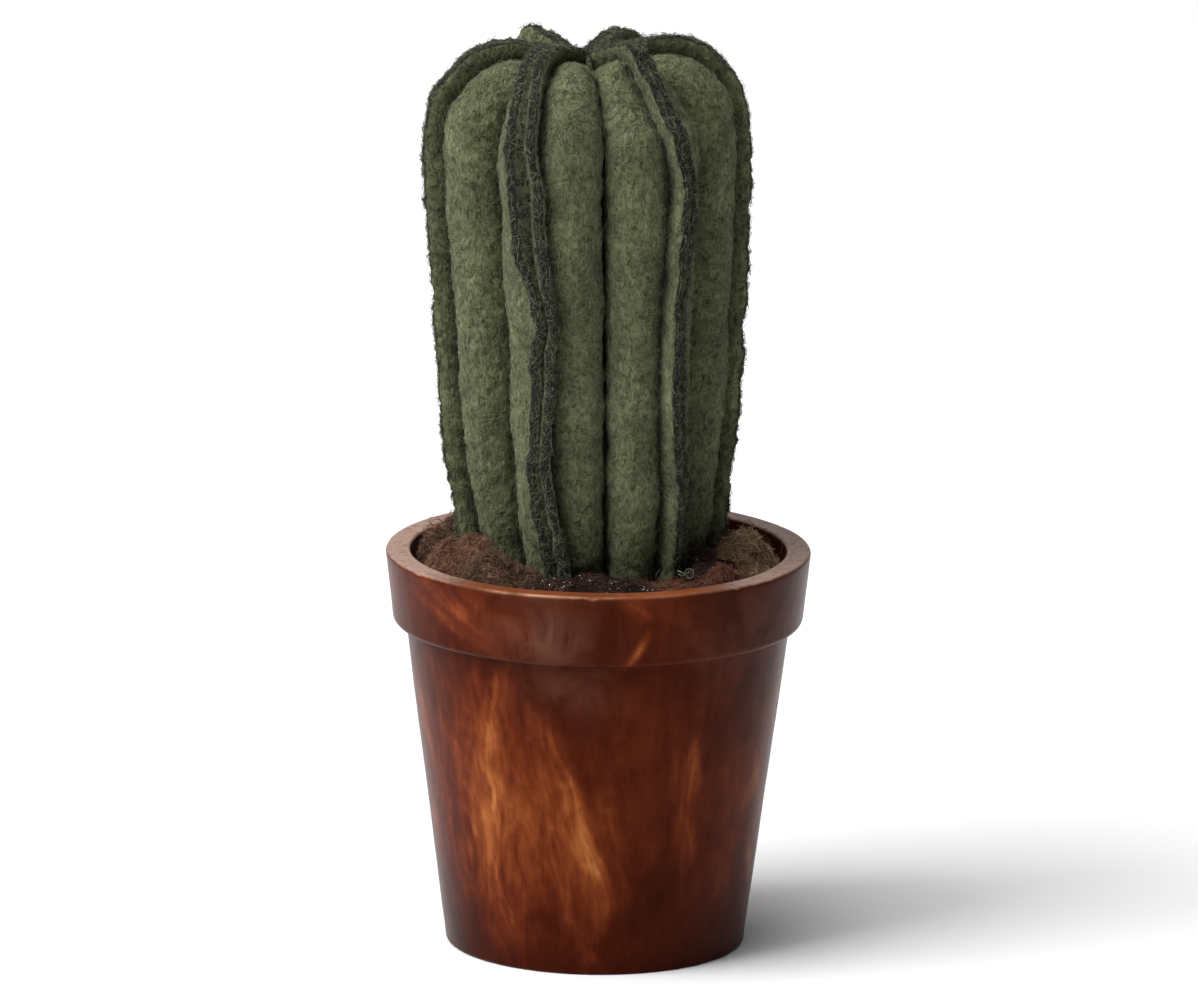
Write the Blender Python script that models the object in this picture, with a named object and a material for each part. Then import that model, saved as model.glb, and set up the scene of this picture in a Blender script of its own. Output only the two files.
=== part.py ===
"""A sewn felt cactus: six stuffed ribs standing in a stepped pot that is filled with wool.

+Z is up. The origin is the centre of the pot's foot, and the front is towards -Y.
"""

import math

import bmesh
import bpy
from mathutils import Vector

MM = 0.001
FIT = 0.3 * MM  # gap between neighbours that touch in the real object

# Pot
POT_HEIGHT = 52.0 * MM
RIM_RADIUS = 27.5 * MM
FOOT_RADIUS = 19.4 * MM
WALL = 3.2 * MM
FLOOR = 3.4 * MM
COLLAR_HEIGHT = 9.5 * MM
COLLAR_TAPER = 0.9 * MM  # the collar is this much narrower at its lower edge
COLLAR_STEP = 1.75 * MM  # how far the collar stands out from the body
COLLAR_CORNER = 0.9 * MM
RIM_EDGE = 0.4 * MM
POT_SEGMENTS = 56

# Cactus, measured from the plane of the pot's rim
RIBS = 6
FIRST_RIB = math.radians(-82.0)  # from the front, towards +X
CACTUS_RADIUS = 21.5 * MM
CACTUS_HEIGHT = 68.0 * MM
ROOT_DEPTH = 13.0 * MM
CACTUS_SHIFT = -0.85 * MM  # where the axis crosses the rim's plane
LEAN = math.radians(-1.2)
FELT = 1.5 * MM
SEAM_MARGIN = 3.2 * MM  # raw edges outside the stitch line
THREAD = 0.4 * MM
THREAD_SLACK = 0.3 * MM  # the thread lies this much outside the deepest part of the crease

# The crest of a rib, from its top edge at the cactus's centre down to the rim's plane: shares of
# the largest radius and of the height.
CREST = (
    (0.13, 0.976),
    (0.28, 0.990),
    (0.48, 1.000),
    (0.67, 0.987),
    (0.77, 0.967),
    (0.865, 0.935),
    (0.93, 0.90),
    (0.97, 0.86),
    (1.0, 0.775),
    (0.98, 0.62),
    (0.945, 0.45),
    (0.91, 0.27),
    (0.865, 0.13),
    (0.80, 0.0),
)
ROOT_TAPER = 0.85  # radius of the root's lower end, as a share of that at the rim's plane
SHOULDER = 0.70  # above this share of the height, a rib's sections fan out over the top
FOLD = 4.0 * MM  # radius of the inner folds
TOP_FOLD = 10.0 * MM  # how far above the fan's centre the folds end at the top
FLANGE_ROOT = 0.8  # the seam pinches the raw edges to this share of their thickness
LOBE_SHARE = 0.57  # how deep a lobe's round shoulder goes, as a share of the wedge's half width
SHOULDER_POINTS = 5

# Wool in the pot, depths below the rim's plane
SOIL_DEPTH = 2.6 * MM
SOIL_CROWN = 1.4 * MM  # the wool rises this much towards the cactus
WOOL_SEGMENTS = 48

HALF_WEDGE = math.pi / RIBS

COLOURS = {
    "pot": (0.075, 0.020, 0.010, 0.35, 0.0),
    "felt": (0.115, 0.150, 0.075, 0.95, 0.0),
    "stuffing": (0.75, 0.73, 0.68, 1.0, 0.0),
    "thread": (0.030, 0.045, 0.025, 0.8, 0.0),
    "brown wool": (0.120, 0.065, 0.042, 0.95, 0.0),
    "dark grit": (0.022, 0.014, 0.012, 0.7, 0.0),
    "tan wool": (0.260, 0.165, 0.095, 0.95, 0.0),
    "red wool": (0.150, 0.060, 0.035, 0.95, 0.0),
}


def clear_scene():
    for obj in list(bpy.data.objects):
        bpy.data.objects.remove(obj, do_unlink=True)


def material(name):
    made = bpy.data.materials.get(name)
    if made:
        return made
    red, green, blue, roughness, metallic = COLOURS[name]
    made = bpy.data.materials.new(name)
    made.use_nodes = True
    shader = made.node_tree.nodes["Principled BSDF"]
    shader.inputs["Base Color"].default_value = (red, green, blue, 1.0)
    shader.inputs["Roughness"].default_value = roughness
    shader.inputs["Metallic"].default_value = metallic
    return made


def add_object(name, data, colour, parent=None):
    """An object on this mesh or curve, with its material, under its parent."""
    obj = bpy.data.objects.new(name, data)
    bpy.context.scene.collection.objects.link(obj)
    if not data.materials:
        data.materials.append(material(colour))
    obj.parent = parent
    return obj


def hide_cutter(obj):
    obj.hide_render = True
    obj.display_type = "WIRE"


def cut_with(obj, cutter):
    modifier = obj.modifiers.new("Cut " + cutter.name, "BOOLEAN")
    modifier.operation = "DIFFERENCE"
    modifier.solver = "EXACT"
    modifier.object = cutter


def arc(centre, radius, start, end, steps):
    """Points on a circle in a profile's (radius, height) plane, angles in degrees."""
    points = []
    for step in range(steps + 1):
        angle = math.radians(start + (end - start) * step / steps)
        points.append(
            (centre[0] + radius * math.cos(angle), centre[1] + radius * math.sin(angle))
        )
    return points


def turned(name, profile, colour, segments, parent=None, closed=True):
    """A solid of revolution. The profile's points go down the outer side first."""
    mesh = bpy.data.meshes.new(name)
    edges = [(i, i + 1) for i in range(len(profile) - 1)]
    if closed:
        edges.append((len(profile) - 1, 0))
    mesh.from_pydata([(radius, 0.0, height) for radius, height in profile], edges, [])
    obj = add_object(name, mesh, colour, parent)
    screw = obj.modifiers.new("Turn", "SCREW")
    screw.steps = segments
    screw.render_steps = segments
    screw.use_merge_vertices = True
    screw.merge_threshold = 0.00001
    screw.use_smooth_shade = True
    return obj


# Pot


def body_radius():
    """Outer radius of the body just under the collar."""
    return RIM_RADIUS - COLLAR_TAPER - COLLAR_STEP


def inner_radius(height):
    """Radius of the pot's inner wall: straight from the floor to the rim."""
    foot = FOOT_RADIUS - WALL
    rim = RIM_RADIUS - WALL
    return foot + (rim - foot) * (height - FLOOR) / (POT_HEIGHT - FLOOR)


def make_pot():
    step_height = POT_HEIGHT - COLLAR_HEIGHT
    collar_radius = RIM_RADIUS - COLLAR_TAPER
    corner = (collar_radius - COLLAR_CORNER, step_height + COLLAR_CORNER)
    outer_lip = (RIM_RADIUS - RIM_EDGE, POT_HEIGHT - RIM_EDGE)
    inner_lip = (inner_radius(POT_HEIGHT) + RIM_EDGE, POT_HEIGHT - RIM_EDGE)
    foot_edge = (FOOT_RADIUS - RIM_EDGE, RIM_EDGE)
    profile = arc(outer_lip, RIM_EDGE, 90, 0, 2)
    profile += arc(corner, COLLAR_CORNER, 0, -90, 4)
    profile += [(body_radius(), step_height)]
    profile += arc(foot_edge, RIM_EDGE, 0, -90, 2)
    profile += [(0.0, 0.0), (0.0, FLOOR)]
    profile += [(inner_radius(FLOOR), FLOOR)]
    profile += arc(inner_lip, RIM_EDGE, 180, 90, 2)
    turned("pot", profile, "pot", POT_SEGMENTS)


# Cactus ribs


def crest_points():
    """The crest from the root's lower end to the top, as (radius, height) vectors. Each point
    is the crest of one section."""
    points = [Vector((r * CACTUS_RADIUS, h * CACTUS_HEIGHT)) for r, h in reversed(CREST)]
    root = Vector((points[0].x * ROOT_TAPER, -ROOT_DEPTH))
    return [root] + points


class Section:
    """One section of a rib, in the plane through a crest point. s runs outwards along the ray
    from the cactus's axis to the crest, and y runs sideways."""

    def __init__(self, crest):
        fan_centre = SHOULDER * CACTUS_HEIGHT
        self.base = min(crest.y, fan_centre)
        ray = Vector((crest.x, crest.y - self.base))
        self.reach = ray.length
        self.out = ray.normalized()
        rise = self.out.y**2
        self.fold = FOLD + (TOP_FOLD - FOLD) * rise
        self.seam = self.reach - SEAM_MARGIN
        self.lip = min(FELT, 0.85 * self.wedge(self.reach, 0.0))
        self.pinch = min(FLANGE_ROOT * FELT, 0.7 * self.wedge(self.seam, 0.0))
        self.contact = self.seam - LOBE_SHARE * self.wedge(self.seam, 0.0)

    def wedge(self, s, inset):
        """Half the width that the rib may take up at s, with this much kept clear."""
        slope = self.out.x * math.tan(HALF_WEDGE)
        return s * slope - (FIT / 2 + inset) * math.hypot(1.0, slope)

    def lobe(self):
        """Centre, radius and end angles of a lobe's round shoulder, which runs from the seam to
        where it meets its neighbour and is tangent to the wedge's side there."""
        slope = self.out.x * math.tan(HALF_WEDGE)
        touch = Vector((self.contact, self.wedge(self.contact, 0.0)))
        seam = Vector((self.seam, self.pinch))
        inward = Vector((slope, -1.0)).normalized()
        radius = -(touch - seam).length_squared / (2 * inward.dot(touch - seam))
        centre = touch + radius * inward
        start = math.atan2(seam.y - centre.y, seam.x - centre.x)
        end = math.atan2(-inward.y, -inward.x)
        return centre, radius, start, end

    def shoulder(self, inset):
        """Points along the lobe's shoulder, this far inside it."""
        centre, radius, start, end = self.lobe()
        small = radius - inset
        points = []
        for step in range(SHOULDER_POINTS + 1):
            angle = start + (end - start) * step / SHOULDER_POINTS
            points.append(
                (centre.x + small * math.cos(angle), centre.y + small * math.sin(angle))
            )
        return points

    def crease(self):
        """Where the seam's thread lies, between the raw edges and the lobe."""
        centre, radius, _, _ = self.lobe()
        room = FIT + THREAD / 2
        y = self.lip + room
        reach = radius + room
        deepest = centre.x + math.sqrt(max(0.0, reach**2 - (y - centre.y) ** 2))
        return deepest + THREAD_SLACK, y

    def half(self, inset):
        """One side of the section, from the crest to the inner fold."""
        fold = self.fold + inset
        if inset:
            shoulder = [p for p in self.shoulder(inset) if p[1] > 0.2 * MM]
            points = [(max(p[0] for p in shoulder), 0.0)] + shoulder
        else:
            points = [(self.reach - 0.5 * MM, 0.0), (self.reach, self.lip)]
            points += self.shoulder(0.0)
        corner = fold + 0.8 * MM
        points.append((corner, self.wedge(corner, inset)))
        points.append((fold, 0.0))
        return points

    def loop(self, inset):
        right = self.half(inset)
        left = [(s, -y) for s, y in reversed(right[1:-1])]
        return [self.place(s, y) for s, y in right + left]

    def place(self, s, y):
        return Vector((s * self.out.x, y, self.base + s * self.out.y))


def skin_loops(made, loops):
    """Quads through loops of equal length, and a face over the last one. Returns the first ring."""
    rings = [[made.verts.new(point) for point in loop] for loop in loops]
    for low, high in zip(rings, rings[1:]):
        count = len(low)
        for i in range(count):
            j = (i + 1) % count
            made.faces.new((low[i], low[j], high[j], high[i]))
    made.faces.new(rings[-1])
    return rings[0]


def finished(name, made):
    bmesh.ops.recalc_face_normals(made, faces=made.faces)
    mesh = bpy.data.meshes.new(name)
    made.to_mesh(mesh)
    made.free()
    mesh.shade_smooth()
    return mesh


def loft(name, loops):
    """A closed mesh through loops of equal length, capped at both ends."""
    made = bmesh.new()
    made.faces.new(skin_loops(made, loops))
    return finished(name, made)


def pocket_loops(sections, inset):
    """The space inside a rib, as far up as it is worth filling."""
    roomy = [s for s in sections if s.wedge(s.contact, inset) > 2.0 * MM]
    return [section.loop(inset) for section in roomy]


def felt_mesh(sections):
    """A rib's felt, closed at the top and open at its lower end."""
    made = bmesh.new()
    rims = []
    for loops in ([s.loop(0.0) for s in sections], pocket_loops(sections, FELT)):
        ring = skin_loops(made, loops)
        rims += [made.edges.get((ring[i - 1], ring[i])) for i in range(len(ring))]
    bmesh.ops.triangle_fill(made, use_dissolve=False, use_beauty=True, edges=rims)
    return finished("rib felt", made)


def thread_curve(sections):
    """Thread up one side of the raw edges and down the other, joined under the root."""
    side = []
    for section in sections:
        s, y = section.crease()
        if section.wedge(section.seam, 0.0) > y + FIT + THREAD:
            side.append(section.place(s, y))
    low = side[0] - Vector((0.0, 0.0, FIT + THREAD))
    path = list(reversed(side)) + [low]
    path += [Vector((p.x, -p.y, p.z)) for p in reversed(path)]
    curve = bpy.data.curves.new("seam thread", "CURVE")
    curve.dimensions = "3D"
    curve.bevel_depth = THREAD / 2
    curve.bevel_resolution = 0
    curve.use_fill_caps = True
    spline = curve.splines.new("POLY")
    spline.points.add(len(path) - 1)
    for point, place in zip(spline.points, path):
        point.co = (*place, 1.0)
    return curve


def make_cactus():
    axis = bpy.data.objects.new("cactus_axis", None)
    bpy.context.scene.collection.objects.link(axis)
    axis.location = (CACTUS_SHIFT, 0.0, POT_HEIGHT)
    axis.rotation_euler = (0.0, LEAN, 0.0)
    sections = [Section(crest) for crest in crest_points()]
    felt = felt_mesh(sections)
    stuffing = loft("rib stuffing", pocket_loops(sections, FELT + FIT))
    thread = thread_curve(sections)
    for number in range(RIBS):
        turn = FIRST_RIB + 2 * HALF_WEDGE * number - math.pi / 2
        pieces = (
            ("rib_felt_", felt, "felt"),
            ("rib_stuffing_", stuffing, "stuffing"),
            ("seam_thread_", thread, "thread"),
        )
        for name, data, colour in pieces:
            obj = add_object(name + str(number + 1), data, colour, axis)
            obj.rotation_euler = (0.0, 0.0, turn)
    return axis


# Wool in the pot


def root_radius(height):
    """Radius of the crests under the rim's plane, at this height above the foot."""
    rim = CREST[-1][0] * CACTUS_RADIUS
    depth = (POT_HEIGHT - height) / ROOT_DEPTH
    return rim * (1.0 - (1.0 - ROOT_TAPER) * depth)


def root_end():
    """Height of the lowest point of the cactus's root, thread and lean included."""
    tilt = abs(math.sin(LEAN)) * CACTUS_RADIUS
    return POT_HEIGHT - ROOT_DEPTH - tilt - 2 * THREAD - FIT


def make_packing():
    bottom = FLOOR + FIT
    top = root_end() - FIT
    profile = [
        (0.0, top),
        (inner_radius(top) - FIT, top),
        (inner_radius(bottom) - FIT, bottom),
        (0.0, bottom),
    ]
    turned("packing", profile, "stuffing", WOOL_SEGMENTS, closed=False)


def soil_height(radius):
    """Height of the wool's top, highest beside the cactus."""
    inner = root_radius(POT_HEIGHT)
    outer = inner_radius(POT_HEIGHT)
    share = max(0.0, min(1.0, (outer - radius) / (outer - inner)))
    return POT_HEIGHT - SOIL_DEPTH + SOIL_CROWN * share


def make_soil(axis):
    bottom = root_end()
    wall_top = soil_height(inner_radius(POT_HEIGHT))
    middle = (root_radius(POT_HEIGHT) + inner_radius(POT_HEIGHT)) / 2
    inside = 0.5 * root_radius(POT_HEIGHT)
    profile = [
        (inside, soil_height(inside)),
        (middle, soil_height(middle)),
        (inner_radius(wall_top) - FIT, wall_top),
        (inner_radius(bottom) - FIT, bottom),
        (inside, bottom),
    ]
    ring = turned("soil_wool", profile, "brown wool", WOOL_SEGMENTS)
    over = 3.0 * MM
    low = -ROOT_DEPTH - over
    clear = FIT * 1.5
    slope = (root_radius(POT_HEIGHT) - root_radius(POT_HEIGHT - ROOT_DEPTH)) / ROOT_DEPTH
    rim_reach = root_radius(POT_HEIGHT) + clear
    hole = [
        (0.0, over),
        (rim_reach + slope * over, over),
        (rim_reach + slope * low, low),
        (0.0, low),
    ]
    cutter = turned("root_space", hole, "brown wool", WOOL_SEGMENTS, axis, closed=False)
    hide_cutter(cutter)
    cut_with(ring, cutter)


def mound(name, colour, start, end, height):
    """A low ridge of wool on the soil, from one azimuth to another, with tapered ends."""
    inner = root_radius(POT_HEIGHT) + abs(CACTUS_SHIFT) + 2 * FIT
    outer = inner_radius(POT_HEIGHT - SOIL_DEPTH) - FIT
    steps = 9
    across = 4
    loops = []
    for step in range(steps + 1):
        share = step / steps
        angle = math.radians(start + (end - start) * share)
        bulk = 0.25 + 0.75 * math.sin(math.pi * share)
        middle = (inner + outer) / 2
        half = (outer - inner) / 2 * bulk
        direction = Vector((math.sin(angle), -math.cos(angle), 0.0))
        loop = []
        for i in range(across + 1):
            radius = middle - half + 2 * half * i / across
            loop.append(direction * radius + Vector((0.0, 0.0, soil_height(radius) + FIT)))
        for i in range(across - 1, 0, -1):
            radius = middle - half + 2 * half * i / across
            crown = height * bulk * math.sin(math.pi * i / across)
            top = soil_height(radius) + FIT + crown
            loop.append(direction * radius + Vector((0.0, 0.0, top)))
        loops.append(loop)
    add_object(name, loft(name, loops), colour)


clear_scene()
make_pot()
cactus_axis = make_cactus()
make_packing()
make_soil(cactus_axis)
mound("soil_grit", "dark grit", -38.0, 24.0, 1.2 * MM)
mound("tuft_front", "red wool", 27.0, 64.0, 1.5 * MM)
mound("tuft_right", "tan wool", 82.0, 128.0, 4.0 * MM)
mound("tuft_left", "brown wool", -122.0, -41.0, 3.0 * MM)
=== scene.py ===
import math
import random

import bmesh
import bpy
from mathutils import Euler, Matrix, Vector, noise


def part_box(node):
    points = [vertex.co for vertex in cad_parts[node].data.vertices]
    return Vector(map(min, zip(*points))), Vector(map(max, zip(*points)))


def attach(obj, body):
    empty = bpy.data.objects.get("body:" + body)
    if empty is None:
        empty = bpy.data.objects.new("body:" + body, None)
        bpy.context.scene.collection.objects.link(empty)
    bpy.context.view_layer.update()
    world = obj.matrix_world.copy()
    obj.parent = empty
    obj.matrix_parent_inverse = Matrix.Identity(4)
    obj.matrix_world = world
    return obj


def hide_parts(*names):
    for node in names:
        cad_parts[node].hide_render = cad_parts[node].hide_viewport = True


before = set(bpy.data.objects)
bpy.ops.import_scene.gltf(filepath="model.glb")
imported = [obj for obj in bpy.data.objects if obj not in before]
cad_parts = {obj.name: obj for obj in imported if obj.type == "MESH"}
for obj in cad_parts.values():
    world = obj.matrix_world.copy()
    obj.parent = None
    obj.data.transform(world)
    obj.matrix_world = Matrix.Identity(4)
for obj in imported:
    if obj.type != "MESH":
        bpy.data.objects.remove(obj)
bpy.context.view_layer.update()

mm = 0.001
scene = bpy.context.scene
potLow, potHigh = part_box("pot")
rimHeight = potHigh.z
rimRadius = (potHigh.x - potLow.x) / 2


# camera and studio

studio = {
    "aim": Vector((0.0, 0.0, 58.5 * mm)),
    "distance": 1.75,
    "elevation": 13.3,
    "fieldWidth": 154.9 * mm,  # how much the frame takes in, at the object
    "roll": 0.56,
    "sensor": 36.0,
    # name, azimuth and elevation, distance, power, size
    "lamps": (
        ("keyLight", -63.0, 42.0, 2.6, 76.0, 1.7),
        ("fillLight", 55.0, 20.0, 2.6, 0.8, 2.0),
        ("topLight", -60.0, 76.0, 2.2, 43.0, 1.8),
    ),
    "skyDark": 0.05,  # the room in front of the object
    "skyBright": 0.66,  # the white backdrop behind it
    "skySeen": 1.0,
    "floorWide": 15.0,
    "floorPale": (0.87, 0.90),
}


def placeCamera(look):
    data = bpy.data.cameras.new("productCamera")
    data.sensor_width = look["sensor"]
    data.lens = look["sensor"] * look["distance"] / look["fieldWidth"]
    data.clip_start = 0.05
    data.clip_end = 60.0
    camera = bpy.data.objects.new("productCamera", data)
    scene.collection.objects.link(camera)
    rise = math.radians(look["elevation"])
    back = Vector((0.0, -math.cos(rise), math.sin(rise)))
    camera.location = look["aim"] + back * look["distance"]
    turn = Euler((math.pi / 2 - rise, 0.0, 0.0)).to_matrix()
    roll = Euler((0.0, 0.0, math.radians(look["roll"]))).to_matrix()
    camera.rotation_euler = (turn @ roll).to_euler()
    scene.camera = camera


def areaLight(name, azimuth, elevation, away, power, size):
    data = bpy.data.lights.new(name, "AREA")
    data.energy = power
    data.size = size
    lamp = bpy.data.objects.new(name, data)
    scene.collection.objects.link(lamp)
    a, e = math.radians(azimuth), math.radians(elevation)
    towards = Vector((math.sin(a) * math.cos(e), -math.cos(a) * math.cos(e), math.sin(e)))
    lamp.location = studio["aim"] + towards * away
    lamp.rotation_euler = towards.to_track_quat("Z", "Y").to_euler()


# node helpers


def addNode(tree, kind, values=None, **settings):
    node = tree.nodes.new(kind)
    for name, value in settings.items():
        setattr(node, name, value)
    for key, value in (values or {}).items():
        if isinstance(value, bpy.types.NodeSocket):
            tree.links.new(value, node.inputs[key])
        else:
            node.inputs[key].default_value = value
    return node


def newMaterial(name, roughness=0.9, sheen=0.0, **sockets):
    material = bpy.data.materials.new(name)
    material.use_nodes = True
    tree = material.node_tree
    shader = tree.nodes["Principled BSDF"]
    shader.inputs["Roughness"].default_value = roughness
    shader.inputs["Sheen Weight"].default_value = sheen
    for socket, value in sockets.items():
        shader.inputs[socket.replace("_", " ")].default_value = value
    return material, tree, shader


def objectCoords(tree, stretch=(1.0, 1.0, 1.0), turn=(0.0, 0.0, 0.0)):
    coords = addNode(tree, "ShaderNodeTexCoord")
    return addNode(
        tree,
        "ShaderNodeMapping",
        {"Vector": coords.outputs["Object"], "Scale": stretch, "Rotation": turn},
    ).outputs["Vector"]


def noiseOf(tree, coords, perMetre, detail=3.0, roughness=0.55, distortion=0.0):
    return addNode(
        tree,
        "ShaderNodeTexNoise",
        {
            "Vector": coords,
            "Scale": perMetre,
            "Detail": detail,
            "Roughness": roughness,
            "Distortion": distortion,
        },
    ).outputs["Fac"]


def rampOf(tree, factor, stops):
    ramp = addNode(tree, "ShaderNodeValToRGB", {"Fac": factor})
    marks = ramp.color_ramp.elements
    while len(marks) < len(stops):
        marks.new(0.5)
    for mark, (place, colour) in zip(marks, stops):
        mark.position = place
        mark.color = (*colour, 1.0)
    return ramp.outputs["Color"]


def mixOf(tree, factor, first, second, blend="MIX"):
    node = addNode(tree, "ShaderNodeMix", data_type="RGBA", blend_type=blend)
    for index, value in ((0, factor), (6, first), (7, second)):
        if isinstance(value, bpy.types.NodeSocket):
            tree.links.new(value, node.inputs[index])
        else:
            node.inputs[index].default_value = value if index == 0 else (*value, 1.0)
    return node.outputs[2]


def mathOf(tree, operation, first, second, third=None):
    values = {0: first, 1: second}
    if third is not None:
        values[2] = third
    return addNode(tree, "ShaderNodeMath", values, operation=operation).outputs[0]


def mapOf(tree, value, low, high, out, **settings):
    values = {"Value": value, "From Min": low, "From Max": high, "To Min": out[0], "To Max": out[1]}
    return addNode(tree, "ShaderNodeMapRange", values, **settings).outputs["Result"]


def attributeOf(tree, name):
    return addNode(tree, "ShaderNodeAttribute", attribute_name=name).outputs["Fac"]


def bumpInto(tree, shader, height, distance, strength=1.0):
    bump = addNode(
        tree, "ShaderNodeBump", {"Height": height, "Distance": distance, "Strength": strength}
    )
    tree.links.new(bump.outputs["Normal"], shader.inputs["Normal"])


def meshObject(name, mesh, material, smooth=True):
    obj = bpy.data.objects.new(name, mesh)
    scene.collection.objects.link(obj)
    mesh.materials.clear()
    mesh.materials.append(material)
    if smooth:
        mesh.shade_smooth()
    return obj


def bridgeRings(made, rings):
    # faces between each ring of points and the next
    for low, high in zip(rings, rings[1:]):
        for i in range(len(low)):
            j = (i + 1) % len(low)
            made.faces.new((low[i], low[j], high[j], high[i]))


def pieceFrom(made, name, material):
    bmesh.ops.recalc_face_normals(made, faces=made.faces)
    mesh = bpy.data.meshes.new(name)
    made.to_mesh(mesh)
    made.free()
    return meshObject(name, mesh, material)


def finishPiece(obj, slot, *nodes):
    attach(obj, "root")
    if nodes:
        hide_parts(*nodes)
    return obj


def smoothStep(low, high, value):
    t = max(0.0, min(1.0, (value - low) / (high - low)))
    return t * t * (3.0 - 2.0 * t)


def between(marks, place):
    # the value at a place, eased from each (place, value) mark to the next
    if place <= marks[0][0]:
        return marks[0][1]
    for (a, va), (b, vb) in zip(marks, marks[1:]):
        if place <= b:
            return va + (vb - va) * smoothStep(a, b, place)
    return marks[-1][1]


def curvedThrough(points, fine):
    # a smooth run through the points, a fine number of steps for each span
    ends = [2 * points[0] - points[1], *points, 2 * points[-1] - points[-2]]
    run = []
    for i in range(1, len(ends) - 2):
        a, b, c, d = ends[i - 1 : i + 3]
        for step in range(fine):
            t = step / fine
            cubic = (2 * a - 5 * b + 4 * c - d) * t * t + (3 * b - a - 3 * c + d) * t**3
            run.append(0.5 * (2 * b + (c - a) * t + cubic))
    run.append(points[-1])
    return run


def evenSteps(run, count):
    # points at equal distances along a run
    lengths = [0.0]
    for a, b in zip(run, run[1:]):
        lengths.append(lengths[-1] + (b - a).length)
    points = []
    place = 0
    for step in range(count):
        wanted = lengths[-1] * step / (count - 1)
        while place < len(run) - 2 and lengths[place + 1] < wanted:
            place += 1
        share = (wanted - lengths[place]) / (lengths[place + 1] - lengths[place])
        points.append(run[place].lerp(run[place + 1], share))
    return points


# pot

pot = {
    "turns": 540,
    "collarSteps": 14,
    "wallSteps": 48,
    "paintRadius": 24.0,  # mm; turns degrees round the wall into millimetres for the paint
    "collarHeight": 9.5 * mm,
    "collarTaper": 0.9 * mm,
    "collarStep": 1.75 * mm,
    "collarCorner": 0.9 * mm,
    "wall": 3.2 * mm,
    "footRadius": 19.4 * mm,
    "floor": 3.4 * mm,
    "edge": 0.45 * mm,
    "wobble": 0.07 * mm,
    "seed": 5,
    "backStrokes": 26,
    "chips": 12,
    # patches: azimuth, height, width in degrees, height in mm, strength
    "haze": (
        (-14.0, 46.5, 14.0, 4.0, 0.75), (-9.0, 39.0, 14.0, 4.0, 0.35), (42.0, 45.0, 16.0, 5.0, 0.35),
        (150.0, 30.0, 30.0, 12.0, 0.4), (-130.0, 44.0, 25.0, 6.0, 0.5),
    ),
    # (azimuth, strength) marks of the dust and painted pale reflection on the rim, and of the worn
    # edge with its painted highlight
    "dustAndSheen": ((-180.0, 0.75), (-100.0, 1.0), (-50.0, 1.0), (50.0, 0.78), (100.0, 0.78), (180.0, 0.75)),
    "wornEdgeAndHighlight": (
        (-180.0, 0.4), (-60.0, 0.15), (-34.0, 0.35), (-22.0, 0.75), (-4.0, 0.6), (8.0, 0.2),
        (30.0, 0.1), (60.0, 0.15), (120.0, 0.5), (180.0, 0.4),
    ),
}

# brush strokes listed one by one: (azimuth, height) at both ends, then width and strength
frontStrokes = (
    ((-36, 33), (-40, 9), 2.6, 1.00),
    ((-33, 40), (-38, 24), 2.8, 0.60),
    ((-46, 34), (-47, 8), 3.0, 0.50),
    ((-24, 36), (-27, 6), 3.0, 0.42),
    ((-15, 34), (1, 8), 1.7, 0.62),
    ((-9, 23), (4, 8), 1.9, 0.80),
    ((-20, 30), (-6, 6), 1.7, 0.50),
    ((-3, 32), (10, 12), 1.3, 0.30),
    ((33, 32), (35, 13), 2.0, 0.42),
    ((24, 36), (29, 18), 1.7, 0.22),
    ((-38, 8), (-28, 0), 3.2, 0.30),
    ((-10, 6), (4, 0), 2.6, 0.25),
    ((14, 47.2), (9, 42.6), 0.55, 0.70),
    ((-55, 48.6), (-34, 44.2), 0.8, 0.55),
    ((-50, 50.2), (-31, 45.2), 0.7, 0.45),
    ((-44, 51.6), (-36, 47.6), 2.2, 0.40),
    ((8, 52.0), (15, 49.5), 1.9, 0.30),
    ((-30, 50), (-18, 44), 3.0, 0.25),
    # the broad faint strokes below lighten the left front, the side that faces the lamps: painted
    # light as well as paint
    ((-62, 36), (-62, 4), 4.0, 0.38),
    ((-40, 42), (-34, 2), 8.0, 0.30),
    ((-20, 24), (-8, 4), 6.0, 0.22),
    ((52, 32), (49, 8), 3.0, 0.20),
)


def azimuthOf(place):
    return math.degrees(math.atan2(place.x, -place.y))


def aroundFrom(azimuth, other):
    # the shorter way round from one azimuth to another, in degrees
    return (azimuth - other + 180.0) % 360.0 - 180.0


def strokesOn():
    random.seed(pot["seed"])
    strokes = list(frontStrokes)
    for _ in range(pot["backStrokes"]):
        azimuth = random.uniform(66, 288)
        height = random.uniform(16, 38)
        lower = height - random.uniform(8, 20)
        strokes.append(
            (
                (azimuth, height),
                (azimuth + random.uniform(-9, 9), max(1.0, lower)),
                random.uniform(0.8, 2.8),
                random.uniform(0.25, 0.9),
            )
        )
    for _ in range(pot["backStrokes"] // 3):
        azimuth = random.uniform(66, 288)
        height = random.uniform(46, 51)
        strokes.append(
            (
                (azimuth, height),
                (azimuth + random.uniform(-14, 14), height - 3.5),
                random.uniform(0.5, 1.4),
                random.uniform(0.3, 0.7),
            )
        )
    return strokes


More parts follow.
